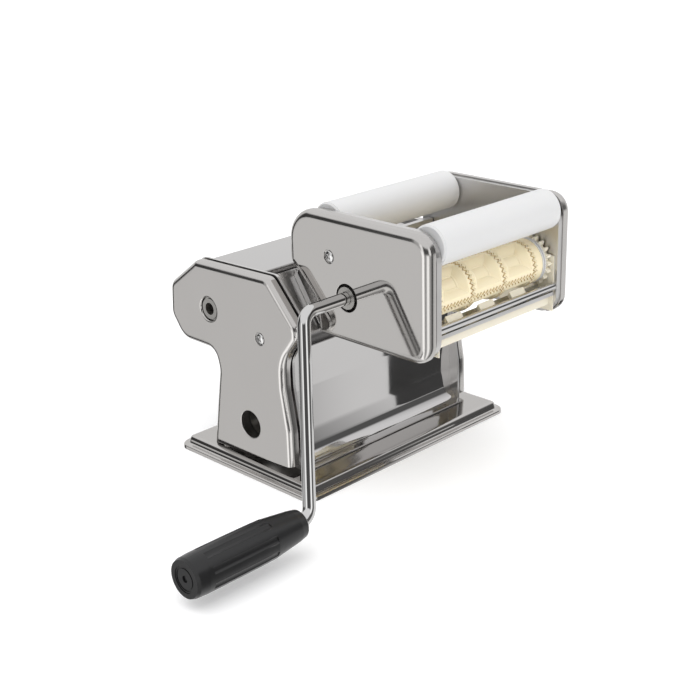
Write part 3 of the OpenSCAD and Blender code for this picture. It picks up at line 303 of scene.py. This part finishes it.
def drawn_cover(name, corners, side, rim_x, face_x, er, step, holes, mat, cut=None):
    """A drawn cover: rolled edge, flat face with rolled holes, open toward the machine."""
    sheet = COVER_SHEET
    arc = [math.pi / 2 * k / RIM_STEPS for k in range(RIM_STEPS + 1)]
    outer = [(step, rim_x)] + [
        (step + er * (1 - math.cos(t)), face_x - er + er * math.sin(t)) for t in arc
    ]
    ir = er - sheet
    inner = [(step + sheet, rim_x)] + [
        (step + sheet + ir * (1 - math.cos(t)), face_x - er + ir * math.sin(t)) for t in arc
    ]
    outer.append((step + er + FLAT_GAP, face_x))
    verts, faces, loops = [], [], {}
    for key, rows in (("outer", outer), ("inner", inner)):
        rings = []
        for d, x in rows:
            first = len(verts)
            verts += [(x, p.x, p.y) for p in rounded(moved_corners(corners, d), CORNER_STEPS)]
            rings.append(range(first, len(verts)))
        loops[key] = rings
        for a, b in zip(rings, rings[1:]):
            n = len(a)
            for i in range(n):
                j = (i + 1) % n
                quad = (a[i], a[j], b[j], b[i])
                faces.append(quad if key == "outer" else quad[::-1])
    a, b = loops["outer"][0], loops["inner"][0]
    n = len(a)
    faces += [(a[(i + 1) % n], a[i], b[i], b[(i + 1) % n]) for i in range(n)]
    edge_faces = len(faces)
    sides = HOLE_SIDES
    edges = []
    for y, z, r, roll in holes:
        rows = []
        for k in range(LIP_STEPS + 1):
            t = math.pi / 2 * k / LIP_STEPS
            rows.append((r + roll * (1 - math.sin(t)), face_x - roll * (1 - math.cos(t))))
        rows = [(r + roll + LIP_GAP, face_x)] + rows + [(r, face_x - sheet - LIP_DEPTH)]
        rings = []
        for radius, x in rows:
            first = len(verts)
            verts += [
                (x, y + radius * math.cos(2 * math.pi * q / sides),
                 z + radius * math.sin(2 * math.pi * q / sides))
                for q in range(sides)
            ]
            rings.append(range(first, len(verts)))
        for c, d in zip(rings, rings[1:]):
            faces += [
                (c[q], c[(q + 1) % sides], d[(q + 1) % sides], d[q]) for q in range(sides)
            ]
        edges.append((rings[0], rings[-1]))
    for ring, which, flip in ((loops["outer"][-1], 0, False), (loops["inner"][-1], 1, True)):
        group = [list(ring)] + [list(e[which]) for e in edges]
        flat = [i for loop in group for i in loop]
        flats = [[Vector((verts[i][1], verts[i][2], 0)) for i in g] for g in group]
        for tri in tessellate_polygon(flats):
            t = [flat[k] for k in tri]
            p, q, r = (Vector(verts[k][1:]) for k in t)
            ccw = (q - p).x * (r - p).y - (q - p).y * (r - p).x > 0
            faces.append(tuple(t) if ccw != flip else tuple(t[::-1]))
    if side < 0:
        faces = [f[::-1] for f in faces]
    obj = piece(name, metres([(side * x, y, z) for x, y, z in verts]), faces, mat)
    obj.data.materials.append(drawn)
    for polygon in obj.data.polygons[:edge_faces]:
        polygon.material_index = 1
    if cut:
        bm = bmesh.new()
        bm.from_mesh(obj.data)
        (y0, z0), (y1, z1) = cut
        normal = Vector((0, z1 - z0, y0 - y1)).normalized()
        found = bmesh.ops.bisect_plane(
            bm, geom=bm.verts[:] + bm.edges[:] + bm.faces[:],
            plane_co=(0, y0 / MM, z0 / MM), plane_no=normal, clear_outer=normal.z < 0,
            clear_inner=normal.z > 0,
        )
        rim = [e for e in found["geom_cut"] if isinstance(e, bmesh.types.BMEdge)]
        bmesh.ops.triangle_fill(bm, edges=rim, use_beauty=True)
        bmesh.ops.recalc_face_normals(bm, faces=bm.faces[:])
        bm.to_mesh(obj.data)
        bm.free()
        obj.data.polygons.foreach_set("use_smooth", [True] * len(obj.data.polygons))
        obj.data.set_sharp_from_angle(angle=math.radians(COVER_SMOOTH))
    return obj


def sized(shares, size, y0, z0):
    return [(y0 + a * size, z0 + b * size, r * size) for a, b, r in shares]


STAND_H, HEAD_H = 143.2, 82.8
HEAD_Y, DIE_Z = -0.7518 * STAND_H, 0.9874 * STAND_H
STAND_SHARES = [
    (0.3561, 0.9874, 0.0489), (-0.1641, 1, 0.0605), (-0.3701, 0.7716, 0.066),
    (-0.2458, 0.6145, 0.2), (-0.2458, 0.4749, 0.2095), (-0.2807, 0.2654, 0.2095),
    (-0.2807, 0.0279, 0.014), (0.3045, 0.0279, 0.014), (0.2619, 0.2793, 0.2095),
    (0.2291, 0.4609, 0.0978), (0.2514, 0.5489, 0.0559), (0.4888, 0.5517, 0.1117),
    (0.5761, 0.6704, 0.0838), (0.5628, 0.838, 0.0698),
]
HEAD_SHARES = [
    (1.0103, 0.5628, 0.2657), (-0.4583, 0.558, 0.157), (-0.4535, -0.4396, 0.157),
    (0.7023, -0.4324, 0.0483), (0.7385, -0.1498, 0.0725), (1.0103, 0.1159, 0.0725),
]
SOCKET = (0.2661 * STAND_H, 0.7577 * STAND_H)
ROLLER = (SOCKET[0] - math.sqrt(30.1 ** 2 - (0.0524 * STAND_H) ** 2), SOCKET[1] + 0.0524 * STAND_H)
SCREW_HOLE = (4.5, 0.35)
STAND_SCREW = (-0.0992 * STAND_H, 0.6927 * STAND_H, *SCREW_HOLE)
stand_corners = sized(STAND_SHARES, STAND_H, 0, 0)
head_corners = sized(HEAD_SHARES, HEAD_H, HEAD_Y, DIE_Z)
HUB = (HEAD_Y + HEAD_H * 0.3714, DIE_Z - HEAD_H * 0.064)
HEAD_SCREW = (HEAD_Y + HEAD_H * 0.5525, DIE_Z + HEAD_H * 0.2307, *SCREW_HOLE)
FOOT_CUT = ((-34.5, 12.1), (34.5, 8.5))
near_holes = [(*SOCKET, 8.4, 1.3), (0.0021 * STAND_H, 0.2318 * STAND_H, 9.8, 0.6), STAND_SCREW]
far_holes = [(ROLLER[0] - 28.6, ROLLER[1], 8.0, 0.45), STAND_SCREW]
STAND_FACE_X, HEAD_FACE_X = 91.2, 71.0
STAND_RIM = (83.6, STAND_FACE_X, 4.6, 0.6)
HEAD_NEAR_RIM, HEAD_FAR_RIM = (63.2, HEAD_FACE_X, 5.4, 0), (62.25, HEAD_FACE_X, 5.4, 0)
covers = [
    ("crank_side_cover", stand_corners, -1, STAND_RIM, near_holes, FOOT_CUT),
    ("dial_side_cover", stand_corners, 1, STAND_RIM, far_holes, FOOT_CUT),
    ("head_crank_cover", head_corners, -1, HEAD_NEAR_RIM, [(*HUB, 9.2, 0.4), HEAD_SCREW], None),
    ("head_far_cover", head_corners, 1, HEAD_FAR_RIM, [HEAD_SCREW], None),
]
for node, corners, side, rim, holes, cut in covers:
    skin = drawn_cover(node + "_skin", corners, side, *rim, holes, FINISH[node], cut)
    stand_in(skin, node)

# Die rollers: a fine grid whose radius follows the moulds and the zig-zag ridges, with painted shade in the
# crevices
DIE_R, VALLEY_R, BAND_R, FLOOR_R = 16.1, 13.9, 15.5, 10.7
PITCH, TEETH, SWAY = 31.5, 10, 1.25
DIE_X0, DIE_X1 = -56.5, 49.5
RIDGE_X0 = DIE_X0 + 3.4
ROW_TURN = 2 * math.pi / 3
ARC = ROW_TURN * DIE_R
RIDGE_HALF, RIDGE_FADE = 0.62, 0.3
CREVICE_HALF, CREVICE_FADE = 1.15, 0.3
COLUMNS = 3
SLOPE_START, SLOPE_W = 11.9, 4.9
FLOOR_STEP, FLOOR_HALF, FLOOR_FADE = 0.7, 5.9, 0.5
END_STEP = 0.3


def wave(t):
    """A zig-zag between -1 and 1, one swing for each whole t."""
    t = t % 1
    return 1 - 4 * t if t < 0.5 else 4 * t - 3


def soft_step(d, half, fade):
    """1 inside half, 0 beyond half + fade."""
    t = max(0.0, min(1.0, (half + fade - d) / fade))
    return t * t * (3 - 2 * t)


def die_radius(x, turn):
    """The die's radius, and how deep the place lies in the crevice beside a ridge."""
    column = (x - RIDGE_X0) / PITCH
    near = RIDGE_X0 + max(0, min(COLUMNS, round(column))) * PITCH
    row = turn / ROW_TURN
    line = abs(x - near - SWAY * wave(row * TEETH - 0.25))
    side = (row - round(row)) * ARC
    if 0 <= column <= COLUMNS:
        line = min(line, abs(side - SWAY * wave(column * TEETH)))
    r = BAND_R
    if 0 < column < COLUMNS:
        u = abs((column - math.floor(column) - 0.5) * PITCH)
        v = abs((row - math.floor(row) - 0.5) * ARC)
        d = max(u, v)
        slope = max(0.0, min(1.0, (SLOPE_START - d) / SLOPE_W))
        r -= (BAND_R - FLOOR_R - FLOOR_STEP) * slope
        r -= FLOOR_STEP * soft_step(d, FLOOR_HALF, FLOOR_FADE)
    ridge = soft_step(line, RIDGE_HALF, RIDGE_FADE)
    crevice = soft_step(line, CREVICE_HALF, CREVICE_FADE) * (1 - ridge)
    r = r + (VALLEY_R - r) * crevice if r > VALLEY_R else r
    return r + (DIE_R - r) * ridge, crevice


def die(name, y, turn, columns, around, mat, deep):
    """A die roller, whose crevices carry a darker cream as painted shade."""
    verts, faces, sunk = [], [], []
    for i in range(columns + 1):
        x = DIE_X0 + (DIE_X1 - DIE_X0) * i / columns
        for k in range(around):
            a = 2 * math.pi * k / around
            r, crevice = die_radius(x, a)
            sunk.append(crevice > 0.5)
            if i in (0, columns):
                r -= END_STEP
            t = a + turn
            verts.append((x, y + r * math.cos(t), DIE_Z + r * math.sin(t)))
    for i in range(columns):
        for k in range(around):
            j = (k + 1) % around
            a, b = i * around, (i + 1) * around
            faces.append((a + k, a + j, b + j, b + k))
    # Faces deep in a crevice take the darker cream: painted shade
    crevice_shade_faces = [1 if sum(sunk[v] for v in f) > 1 else 0 for f in faces] + [0, 0]
    faces.append(tuple(range(around))[::-1])
    faces.append(tuple(range(columns * around, (columns + 1) * around)))
    obj = piece(name, metres(verts), faces, mat, 60)
    obj.data.materials.append(deep)
    obj.data.polygons.foreach_set("material_index", crevice_shade_faces)
    return obj


HALF_DIE_DIST = 16.3
GRID_COLUMNS, GRID_AROUND = 460, 450
fine = 1
for node, y, turn, detail in (
    ("front_die", HEAD_Y - HALF_DIE_DIST, 78, 1.0), ("rear_die", HEAD_Y + HALF_DIE_DIST, 102, 0.6)
):
    part = die(node + "_moulds", y, math.radians(turn), int(GRID_COLUMNS * detail * fine),
               int(GRID_AROUND * detail * fine), FINISH[node], cream_crevice_shade)
    stand_in(part, node)

# Pan-head screws with a cross recess, each in a shallow seat behind its hole in the cover
SCREW_RINGS, SCREW_SIDES, DOME_POWER = 30, 72, 2.4
SCREW_R, SEAT_R, DOME_H = 3.9, 5.4, 1.5
SUNK, SEAT_DEPTH, SEAT_BACK = 0.75, 1.15, 1.3
CROSS_TURN, CROSS_DEPTH = 0.6, 1.1
ARM_HALF, ARM_FADE, ARM_REACH, ARM_END = 0.34, 0.2, 1.9, 0.3


def cross_arm(u, v):
    """1 inside one arm of the cross, 0 outside."""
    return soft_step(u, ARM_HALF, ARM_FADE) * soft_step(v, ARM_REACH, ARM_END)


def pan_screw(name, side, face_x, y, z):
    base_x = face_x - SUNK
    verts, faces = [(side * (base_x + DOME_H - CROSS_DEPTH), y, z)], []

    def ring(r, heights):
        for k, x in enumerate(heights):
            a = 2 * math.pi * k / SCREW_SIDES
            verts.append((side * x, y + r * math.cos(a), z + r * math.sin(a)))

    for i in range(1, SCREW_RINGS + 1):
        r = SCREW_R * i / SCREW_RINGS
        top_x = base_x + DOME_H * math.sqrt(max(0, 1 - (r / SCREW_R) ** DOME_POWER))
        heights = []
        for k in range(SCREW_SIDES):
            a = 2 * math.pi * k / SCREW_SIDES - CROSS_TURN
            u, v = abs(r * math.cos(a)), abs(r * math.sin(a))
            heights.append(top_x - CROSS_DEPTH * max(cross_arm(u, v), cross_arm(v, u)))
        ring(r, heights)
    for r, depth in ((SCREW_R, SEAT_DEPTH), (SEAT_R, SEAT_DEPTH), (SEAT_R, SEAT_BACK)):
        ring(r, [face_x - depth] * SCREW_SIDES)
    rings = SCREW_RINGS + 2
    for k in range(SCREW_SIDES):
        j = (k + 1) % SCREW_SIDES
        faces.append((0, 1 + k, 1 + j))
        for i in range(rings):
            a, b = 1 + i * SCREW_SIDES, 1 + (i + 1) * SCREW_SIDES
            faces.append((a + k, b + k, b + j, a + j))
    last = 1 + rings * SCREW_SIDES
    faces.append(tuple(range(last, last + SCREW_SIDES))[::-1])
    if side < 0:
        faces = [f[::-1] for f in faces]
    return piece(name, metres(verts), faces, chrome, 25)


for node, screw, face_x in (
    ("stand_cover_screws", STAND_SCREW, STAND_FACE_X), ("head_cover_screws", HEAD_SCREW, HEAD_FACE_X)
):
    for label, side in (("near", -1), ("far", 1)):
        stand_in(pan_screw(node + "_" + label, side, face_x, screw[0], screw[1]), node)


# Bent sheets: a strip of steel along a smooth line in the side view
def sheet_line(points, radii, steps=8):
    """A side view line with its inner corners rounded."""
    line = [Vector(points[0])]
    for a, b, c, r in zip(points, points[1:], points[2:], radii):
        line += corner_arc(Vector(a), Vector(b), Vector(c), r, steps)
    line.append(Vector(points[-1]))
    return line


def bent_sheet(name, line, x0, x1, thick, mat):
    """A sheet of one thickness that follows the line from x0 to x1."""
    half = thick / 2
    rows = []
    for i, p in enumerate(line):
        before, after = line[max(0, i - 1)], line[min(len(line) - 1, i + 1)]
        way = (after - before).normalized()
        rows.append((p + Vector((way.y, -way.x)) * half, p - Vector((way.y, -way.x)) * half))
    verts = []
    for x in (x0, x1):
        for front, rear in rows:
            verts += [(x, front.x, front.y), (x, rear.x, rear.y)]
    n = len(rows)
    faces = []
    for i in range(n - 1):
        a, b = 2 * i, 2 * (i + 1)
        c, d = 2 * n + a, 2 * n + b
        faces += [(a, b, d, c), (a + 1, c + 1, d + 1, b + 1)]
        faces += [(a, a + 1, b + 1, b), (c, d, d + 1, c + 1)]
    faces += [(0, 2 * n, 2 * n + 1, 1), (2 * n - 2, 2 * n - 1, 4 * n - 1, 4 * n - 2)]
    obj = piece(name, metres(verts), faces, mat, 30)
    outward(obj)
    return obj


# A steel leaf under each die, on the comb's strip, so that less light shows between the tongues
LEAF_HALF_X, LEAF_T, LEAF_R = 57, 0.5, 3
LEAF_FOOT_Y, LEAF_TOP_Y = 23.2, 21.9
LEAF_FOOT_DROP, LEAF_BEND_DROP, LEAF_TOP_DROP = 22.6, 20, 16.7
for label, way in (("front", -1), ("rear", 1)):
    foot_y, top_y = HEAD_Y + way * LEAF_FOOT_Y, HEAD_Y + way * LEAF_TOP_Y
    leaf_line = sheet_line(
        [(foot_y, DIE_Z - LEAF_FOOT_DROP), (foot_y, DIE_Z - LEAF_BEND_DROP), (top_y, DIE_Z - LEAF_TOP_DROP)],
        [LEAF_R],
    )
    leaf = bent_sheet(label + "_die_leaf", leaf_line, -LEAF_HALF_X, LEAF_HALF_X, LEAF_T, guard_steel_painted_highlight)
    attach(leaf, BODY["front_comb"])

# Apron: a sheet that flares out onto the base plate
APRON_LINE = [
    (-42.0, 104.8), (-33.2, 91), (-31.6, 62), (-31.4, 30), (-32.6, 17), (-38.5, 9.6), (-44.5, 8.7),
]
APRON_RADII, APRON_T = [6, 30, 40, 12, 7], 1.0
apron_low, apron_high = box_of("front_apron")
apron = bent_sheet("front_apron_sheet", sheet_line(APRON_LINE, APRON_RADII), apron_low.x, apron_high.x,
                   APRON_T, FINISH["front_apron"])
stand_in(apron, "front_apron")


# Base plate: a pressed plate with a rounded shoulder and a flat step round its edge
def pressed_plate(name, low, high, corner_r, rows, sheet, mat):
    """A plate whose rows give the inset and height of its edge, with its underside one sheet below."""
    corners = [(low.x, low.y, corner_r), (high.x, low.y, corner_r), (high.x, high.y, corner_r),
               (low.x, high.y, corner_r)]
    under = [(d + sheet, max(low.z, z - sheet)) for d, z in rows]
    verts, rings = [], []
    for d, z in rows + under[::-1]:
        first = len(verts)
        verts += [(p.x, p.y, z) for p in rounded(moved_corners(corners, d), PLATE_STEPS)]
        rings.append(list(range(first, len(verts))))
    pairs = list(zip(rings, rings[1:]))
    top = len(rows) - 1
    faces = []
    for a, b in pairs[:top] + pairs[top + 1:] + [(rings[-1], rings[0])]:
        n = len(a)
        faces += [(a[i], a[(i + 1) % n], b[(i + 1) % n], b[i]) for i in range(n)]
    faces += [tuple(rings[top]), tuple(rings[top + 1])[::-1]]
    obj = piece(name, metres(verts), faces, mat, 28)
    outward(obj)
    return obj


PLATE_STEPS, PLATE_CORNER_R, PLATE_SHEET = 10, 9, 0.9
base_low, base_high = box_of("base_plate")
top_z = base_high.z
base_rows = [
    (0, base_low.z), (0, 1.5), (0.35, 2.4), (1.1, 2.9), (2.2, 3.0), (3.6, 3.05), (4.3, 3.4), (4.7, 4.1),
    (4.9, 5.4), (5.3, 6.6), (6.1, 7.5), (7.3, top_z - 0.1), (8.6, top_z),
]
base = pressed_plate("base_plate_skin", base_low, base_high, PLATE_CORNER_R, base_rows, PLATE_SHEET,
                     FINISH["base_plate"])
stand_in(base, "base_plate")

# Crank rod: a round bar bent twice, with its keyed tip
ROD_R, BEND_R, TIP_R, TIP_LEN = 4.2, 10.0, 3.1, 9.0
TIP_EDGE, ROD_EDGE, PART_GAP = 0.4, 0.3, 0.5
KEY_W, KEY_TOP, KEY_INSET = 2.0, 1.0, 0.2
SLANT, SWING, ARM_LEN, ARM_X = math.radians(14.9), math.radians(15.6), 125.5, 108.0
rod_low, rod_high = box_of("crank_rod")
LEG = Vector((-1, 0, 0))
ARM = Vector((-math.sin(SLANT), -math.cos(SLANT) * math.sin(SWING), -math.cos(SLANT) * math.cos(SWING)))
seat = rod_high.x - TIP_LEN + PART_GAP
upper = Vector((-ARM_X, *HUB))
lower = upper + ARM * ARM_LEN


def bend(corner, u, w, steps=20):
    """Places and directions of a rounded corner between two directions of the bar."""
    angle = math.acos(u.dot(w))
    n = (w - u * u.dot(w)).normalized()
    start = corner - u * BEND_R * math.tan(angle / 2) + n * BEND_R
    out = []
    for k in range(steps + 1):
        a = angle * k / steps
        place = start + (u * math.sin(a) - n * math.cos(a)) * BEND_R
        out.append((place, n * math.sin(a) + u * math.cos(a)))
    return out


def bar(stations, sides=48):
    """A closed round bar through stations of place, direction and radius."""
    across = LEG.cross(ARM).normalized()
    verts, faces = [], []
    for place, way, r in stations:
        side = way.cross(across)
        for k in range(sides):
            a = 2 * math.pi * k / sides
            verts.append(place + (across * math.cos(a) + side * math.sin(a)) * r)
    for i in range(len(stations) - 1):
        a, b = i * sides, (i + 1) * sides
        faces += [(a + k, a + (k + 1) % sides, b + (k + 1) % sides, b + k) for k in range(sides)]
    faces += [tuple(range(sides))[::-1], tuple(range(len(verts) - sides, len(verts)))]
    return verts, faces


hub_stations = [
    (rod_high.x, TIP_R - TIP_EDGE), (rod_high.x - TIP_EDGE, TIP_R), (seat, TIP_R),
    (seat, ROD_R - ROD_EDGE), (seat - ROD_EDGE, ROD_R),
]
stations = [(Vector((x, *HUB)), LEG, r) for x, r in hub_stations]
stations += [(p, w, ROD_R) for p, w in bend(upper, LEG, ARM) + bend(lower, ARM, LEG)]
for x, r in ((rod_low.x + ROD_EDGE, ROD_R), (rod_low.x, ROD_R - ROD_EDGE)):
    stations.append((Vector((x, lower.y, lower.z)), LEG, r))
verts, faces = bar(stations)
first = len(verts)
for x in (seat - KEY_INSET, rod_high.x - KEY_INSET):
    for dy, dz in ((-1, 0), (1, 0), (1, 1), (-1, 1)):
        verts.append(Vector((x, HUB[0] + dy * KEY_W / 2, HUB[1] + dz * (TIP_R + KEY_TOP))))
faces += [tuple(first + k for k in f) for f in (
    (0, 3, 2, 1), (4, 5, 6, 7), (0, 1, 5, 4), (1, 2, 6, 5), (2, 3, 7, 6), (3, 0, 4, 7))]
rod = piece("crank_rod_bar", metres(verts), faces, chrome, 40)
outward(rod)
stand_in(rod, "crank_rod")


# Studio: a large pale floor under two soft suns, and a world that is a ring of soft light panels
FLOOR_SIZE, FLOOR_Z, FLOOR_COLOUR, FLOOR_GLOW = 60, -0.0002, (0.9, 0.9, 0.9), 0.2
SUN_STRENGTH, SUN_SPREAD = 0.9, 80


def plane(name, size, height, colour, glow):
    half = size / 2
    mesh = bpy.data.meshes.new(name)
    corners = [(-half, -half), (half, -half), (half, half), (-half, half)]
    mesh.from_pydata([(x, y, height) for x, y in corners], [], [(0, 1, 2, 3)])
    obj = bpy.data.objects.new(name, mesh)
    bpy.context.scene.collection.objects.link(obj)
    mat, _, _, shader = new_material(name)
    shader.inputs["Base Color"].default_value = (*colour, 1)
    shader.inputs["Roughness"].default_value = 1
    shader.inputs["Specular IOR Level"].default_value = 0
    shader.inputs["Emission Color"].default_value = (*colour, 1)
    shader.inputs["Emission Strength"].default_value = glow
    mesh.materials.append(mat)
    return obj


def sun(name, place):
    """A wide soft sun that shines from a place toward the origin, unseen in the metal."""
    data = bpy.data.lights.new(name, "SUN")
    data.energy = SUN_STRENGTH
    data.angle = math.radians(SUN_SPREAD)
    obj = bpy.data.objects.new(name, data)
    bpy.context.scene.collection.objects.link(obj)
    obj.rotation_euler = (-Vector(place)).to_track_quat("-Z", "Y").to_euler()
    obj.visible_glossy = False


floor = plane("floor", FLOOR_SIZE, FLOOR_Z, FLOOR_COLOUR, FLOOR_GLOW)
floor.visible_glossy = False
sun("soft sun", (-0.3, 0.2, 1.0))
sun("front fill", (0.1, -1.0, 0.55))

# A dark card on the floor at the right, which only the metal mirrors
CARD_CORNERS = [(0.064, -0.08, 0), (0.190, -0.2, 0), (0.3, -0.212, 0), (0.15, -0.083, 0)]
card_mesh = bpy.data.meshes.new("dark_card")
card_mesh.from_pydata(CARD_CORNERS, [], [(0, 1, 2, 3)])
dark_card = bpy.data.objects.new("dark_card", card_mesh)
bpy.context.scene.collection.objects.link(dark_card)
card_mesh.materials.append(plastic("dark card", (0.03, 0.03, 0.03), 0.8))
for kind in ("camera", "diffuse", "shadow", "transmission"):
    setattr(dark_card, "visible_" + kind, False)

# Brightness of the light panels by azimuth, in degrees to the right of the photo's camera
LOW_RING = [
    (-180, 0.95), (-132, 0.95), (-124, 0.05), (-106, 0.05), (-101, 0.88), (-68, 0.88), (-58, 1.8),
    (-38, 1.8), (-30, 0.55), (-8, 0.55), (2, 1.6), (25, 1.6), (34, 0.55), (54, 0.5), (62, 0.12),
    (82, 0.12), (89, 0.95), (180, 0.95),
]
WALL_RING = [
    (-180, 0.9), (-126, 0.9), (-119, 0.06), (-84, 0.06), (-76, 0.6), (-57, 0.6), (-50, 1.4),
    (-36, 1.4), (-28, 0.1), (26, 0.1), (36, 1.4), (54, 1.4), (60, 0.13), (100, 0.13), (110, 0.9),
    (180, 0.9),
]
CAMERA_TURN, WORLD_STRENGTH, SEEN_STRENGTH = 45.5, 2.0, 1.05
TOP_COLOUR = (0.5, 0.5, 0.505, 1)
LOW_BLEND, TOP_BLEND = (-0.1, 0.0), (0.4, 0.55)
world = bpy.data.worlds.new("studio")
bpy.context.scene.world = world
world.use_nodes = True
wn, wl = world.node_tree.nodes, world.node_tree.links
coord = wn.new("ShaderNodeTexCoord")
split = wn.new("ShaderNodeSeparateXYZ")
around = wn.new("ShaderNodeTexGradient")
around.gradient_type = "RADIAL"
wl.new(coord.outputs["Generated"], split.inputs["Vector"])
wl.new(coord.outputs["Generated"], around.inputs["Vector"])


def panels(stops):
    """A colour ramp round the horizon from stops of azimuth and brightness."""
    places = sorted((((a + CAMERA_TURN) / 360) % 1, v) for a, v in stops[:-1])
    (first_at, first_value), (last_at, last_value) = places[0], places[-1]
    wrap = (first_value * first_at + last_value * (1 - last_at)) / (first_at + 1 - last_at)
    ramp = wn.new("ShaderNodeValToRGB")
    keys = ramp.color_ramp.elements
    keys[0].position, keys[1].position = 0, 1
    keys[0].color = keys[1].color = (*[wrap / WORLD_STRENGTH] * 3, 1)
    for place, value in places:
        keys.new(place).color = (*[value / WORLD_STRENGTH] * 3, 1)
    wl.new(around.outputs["Fac"], ramp.inputs["Fac"])
    return ramp.outputs["Color"]


def stacked(below, above, start, end):
    """The colour below one height of the direction, and another above it."""
    height = wn.new("ShaderNodeMapRange")
    height.interpolation_type = "SMOOTHSTEP"
    height.inputs["From Min"].default_value = start
    height.inputs["From Max"].default_value = end
    mix = wn.new("ShaderNodeMix")
    mix.data_type = "RGBA"
    wl.new(split.outputs["Z"], height.inputs["Value"])
    wl.new(height.outputs["Result"], mix.inputs["Factor"])
    wl.new(below, mix.inputs[6])
    wl.new(above, mix.inputs[7])
    return mix.outputs[2]


top = wn.new("ShaderNodeRGB")
top.outputs[0].default_value = TOP_COLOUR
sides = stacked(panels(LOW_RING), panels(WALL_RING), *LOW_BLEND)
wl.new(stacked(sides, top.outputs[0], *TOP_BLEND), wn["Background"].inputs["Color"])
wn["Background"].inputs["Strength"].default_value = WORLD_STRENGTH
seen = wn.new("ShaderNodeLightPath")
plain = wn.new("ShaderNodeBackground")
plain.inputs["Strength"].default_value = SEEN_STRENGTH
plain.inputs["Color"].default_value = (1, 1, 1, 1)
choice = wn.new("ShaderNodeMixShader")
wl.new(seen.outputs["Is Camera Ray"], choice.inputs["Fac"])
wl.new(wn["Background"].outputs["Background"], choice.inputs[1])
wl.new(plain.outputs["Background"], choice.inputs[2])
wl.new(choice.outputs["Shader"], wn["World Output"].inputs["Surface"])

# Camera at the photo's viewing angle
AZIMUTH, ELEVATION, ROLL = (math.radians(v) for v in (-44.52785, 20.76824, -1.74085))
CAMERA_AT = (-0.6188913, -0.6353078, 0.3978561)
LENS, SENSOR = 67.264, 36
back = Vector((math.sin(AZIMUTH) * math.cos(ELEVATION), -math.cos(AZIMUTH) * math.cos(ELEVATION),
               math.sin(ELEVATION)))
level = (-back).cross(Vector((0, 0, 1))).normalized()
upright = level.cross(-back)
right = level * math.cos(ROLL) + upright * math.sin(ROLL)
up = upright * math.cos(ROLL) - level * math.sin(ROLL)
cam_data = bpy.data.cameras.new("camera")
cam_data.lens = LENS
cam_data.sensor_width = SENSOR
cam = bpy.data.objects.new("camera", cam_data)
bpy.context.scene.collection.objects.link(cam)
facing = Matrix((right, up, back)).transposed().to_4x4()
cam.matrix_world = Matrix.Translation(CAMERA_AT) @ facing
bpy.context.scene.camera = cam
bpy.context.scene.view_settings.view_transform = "Standard"
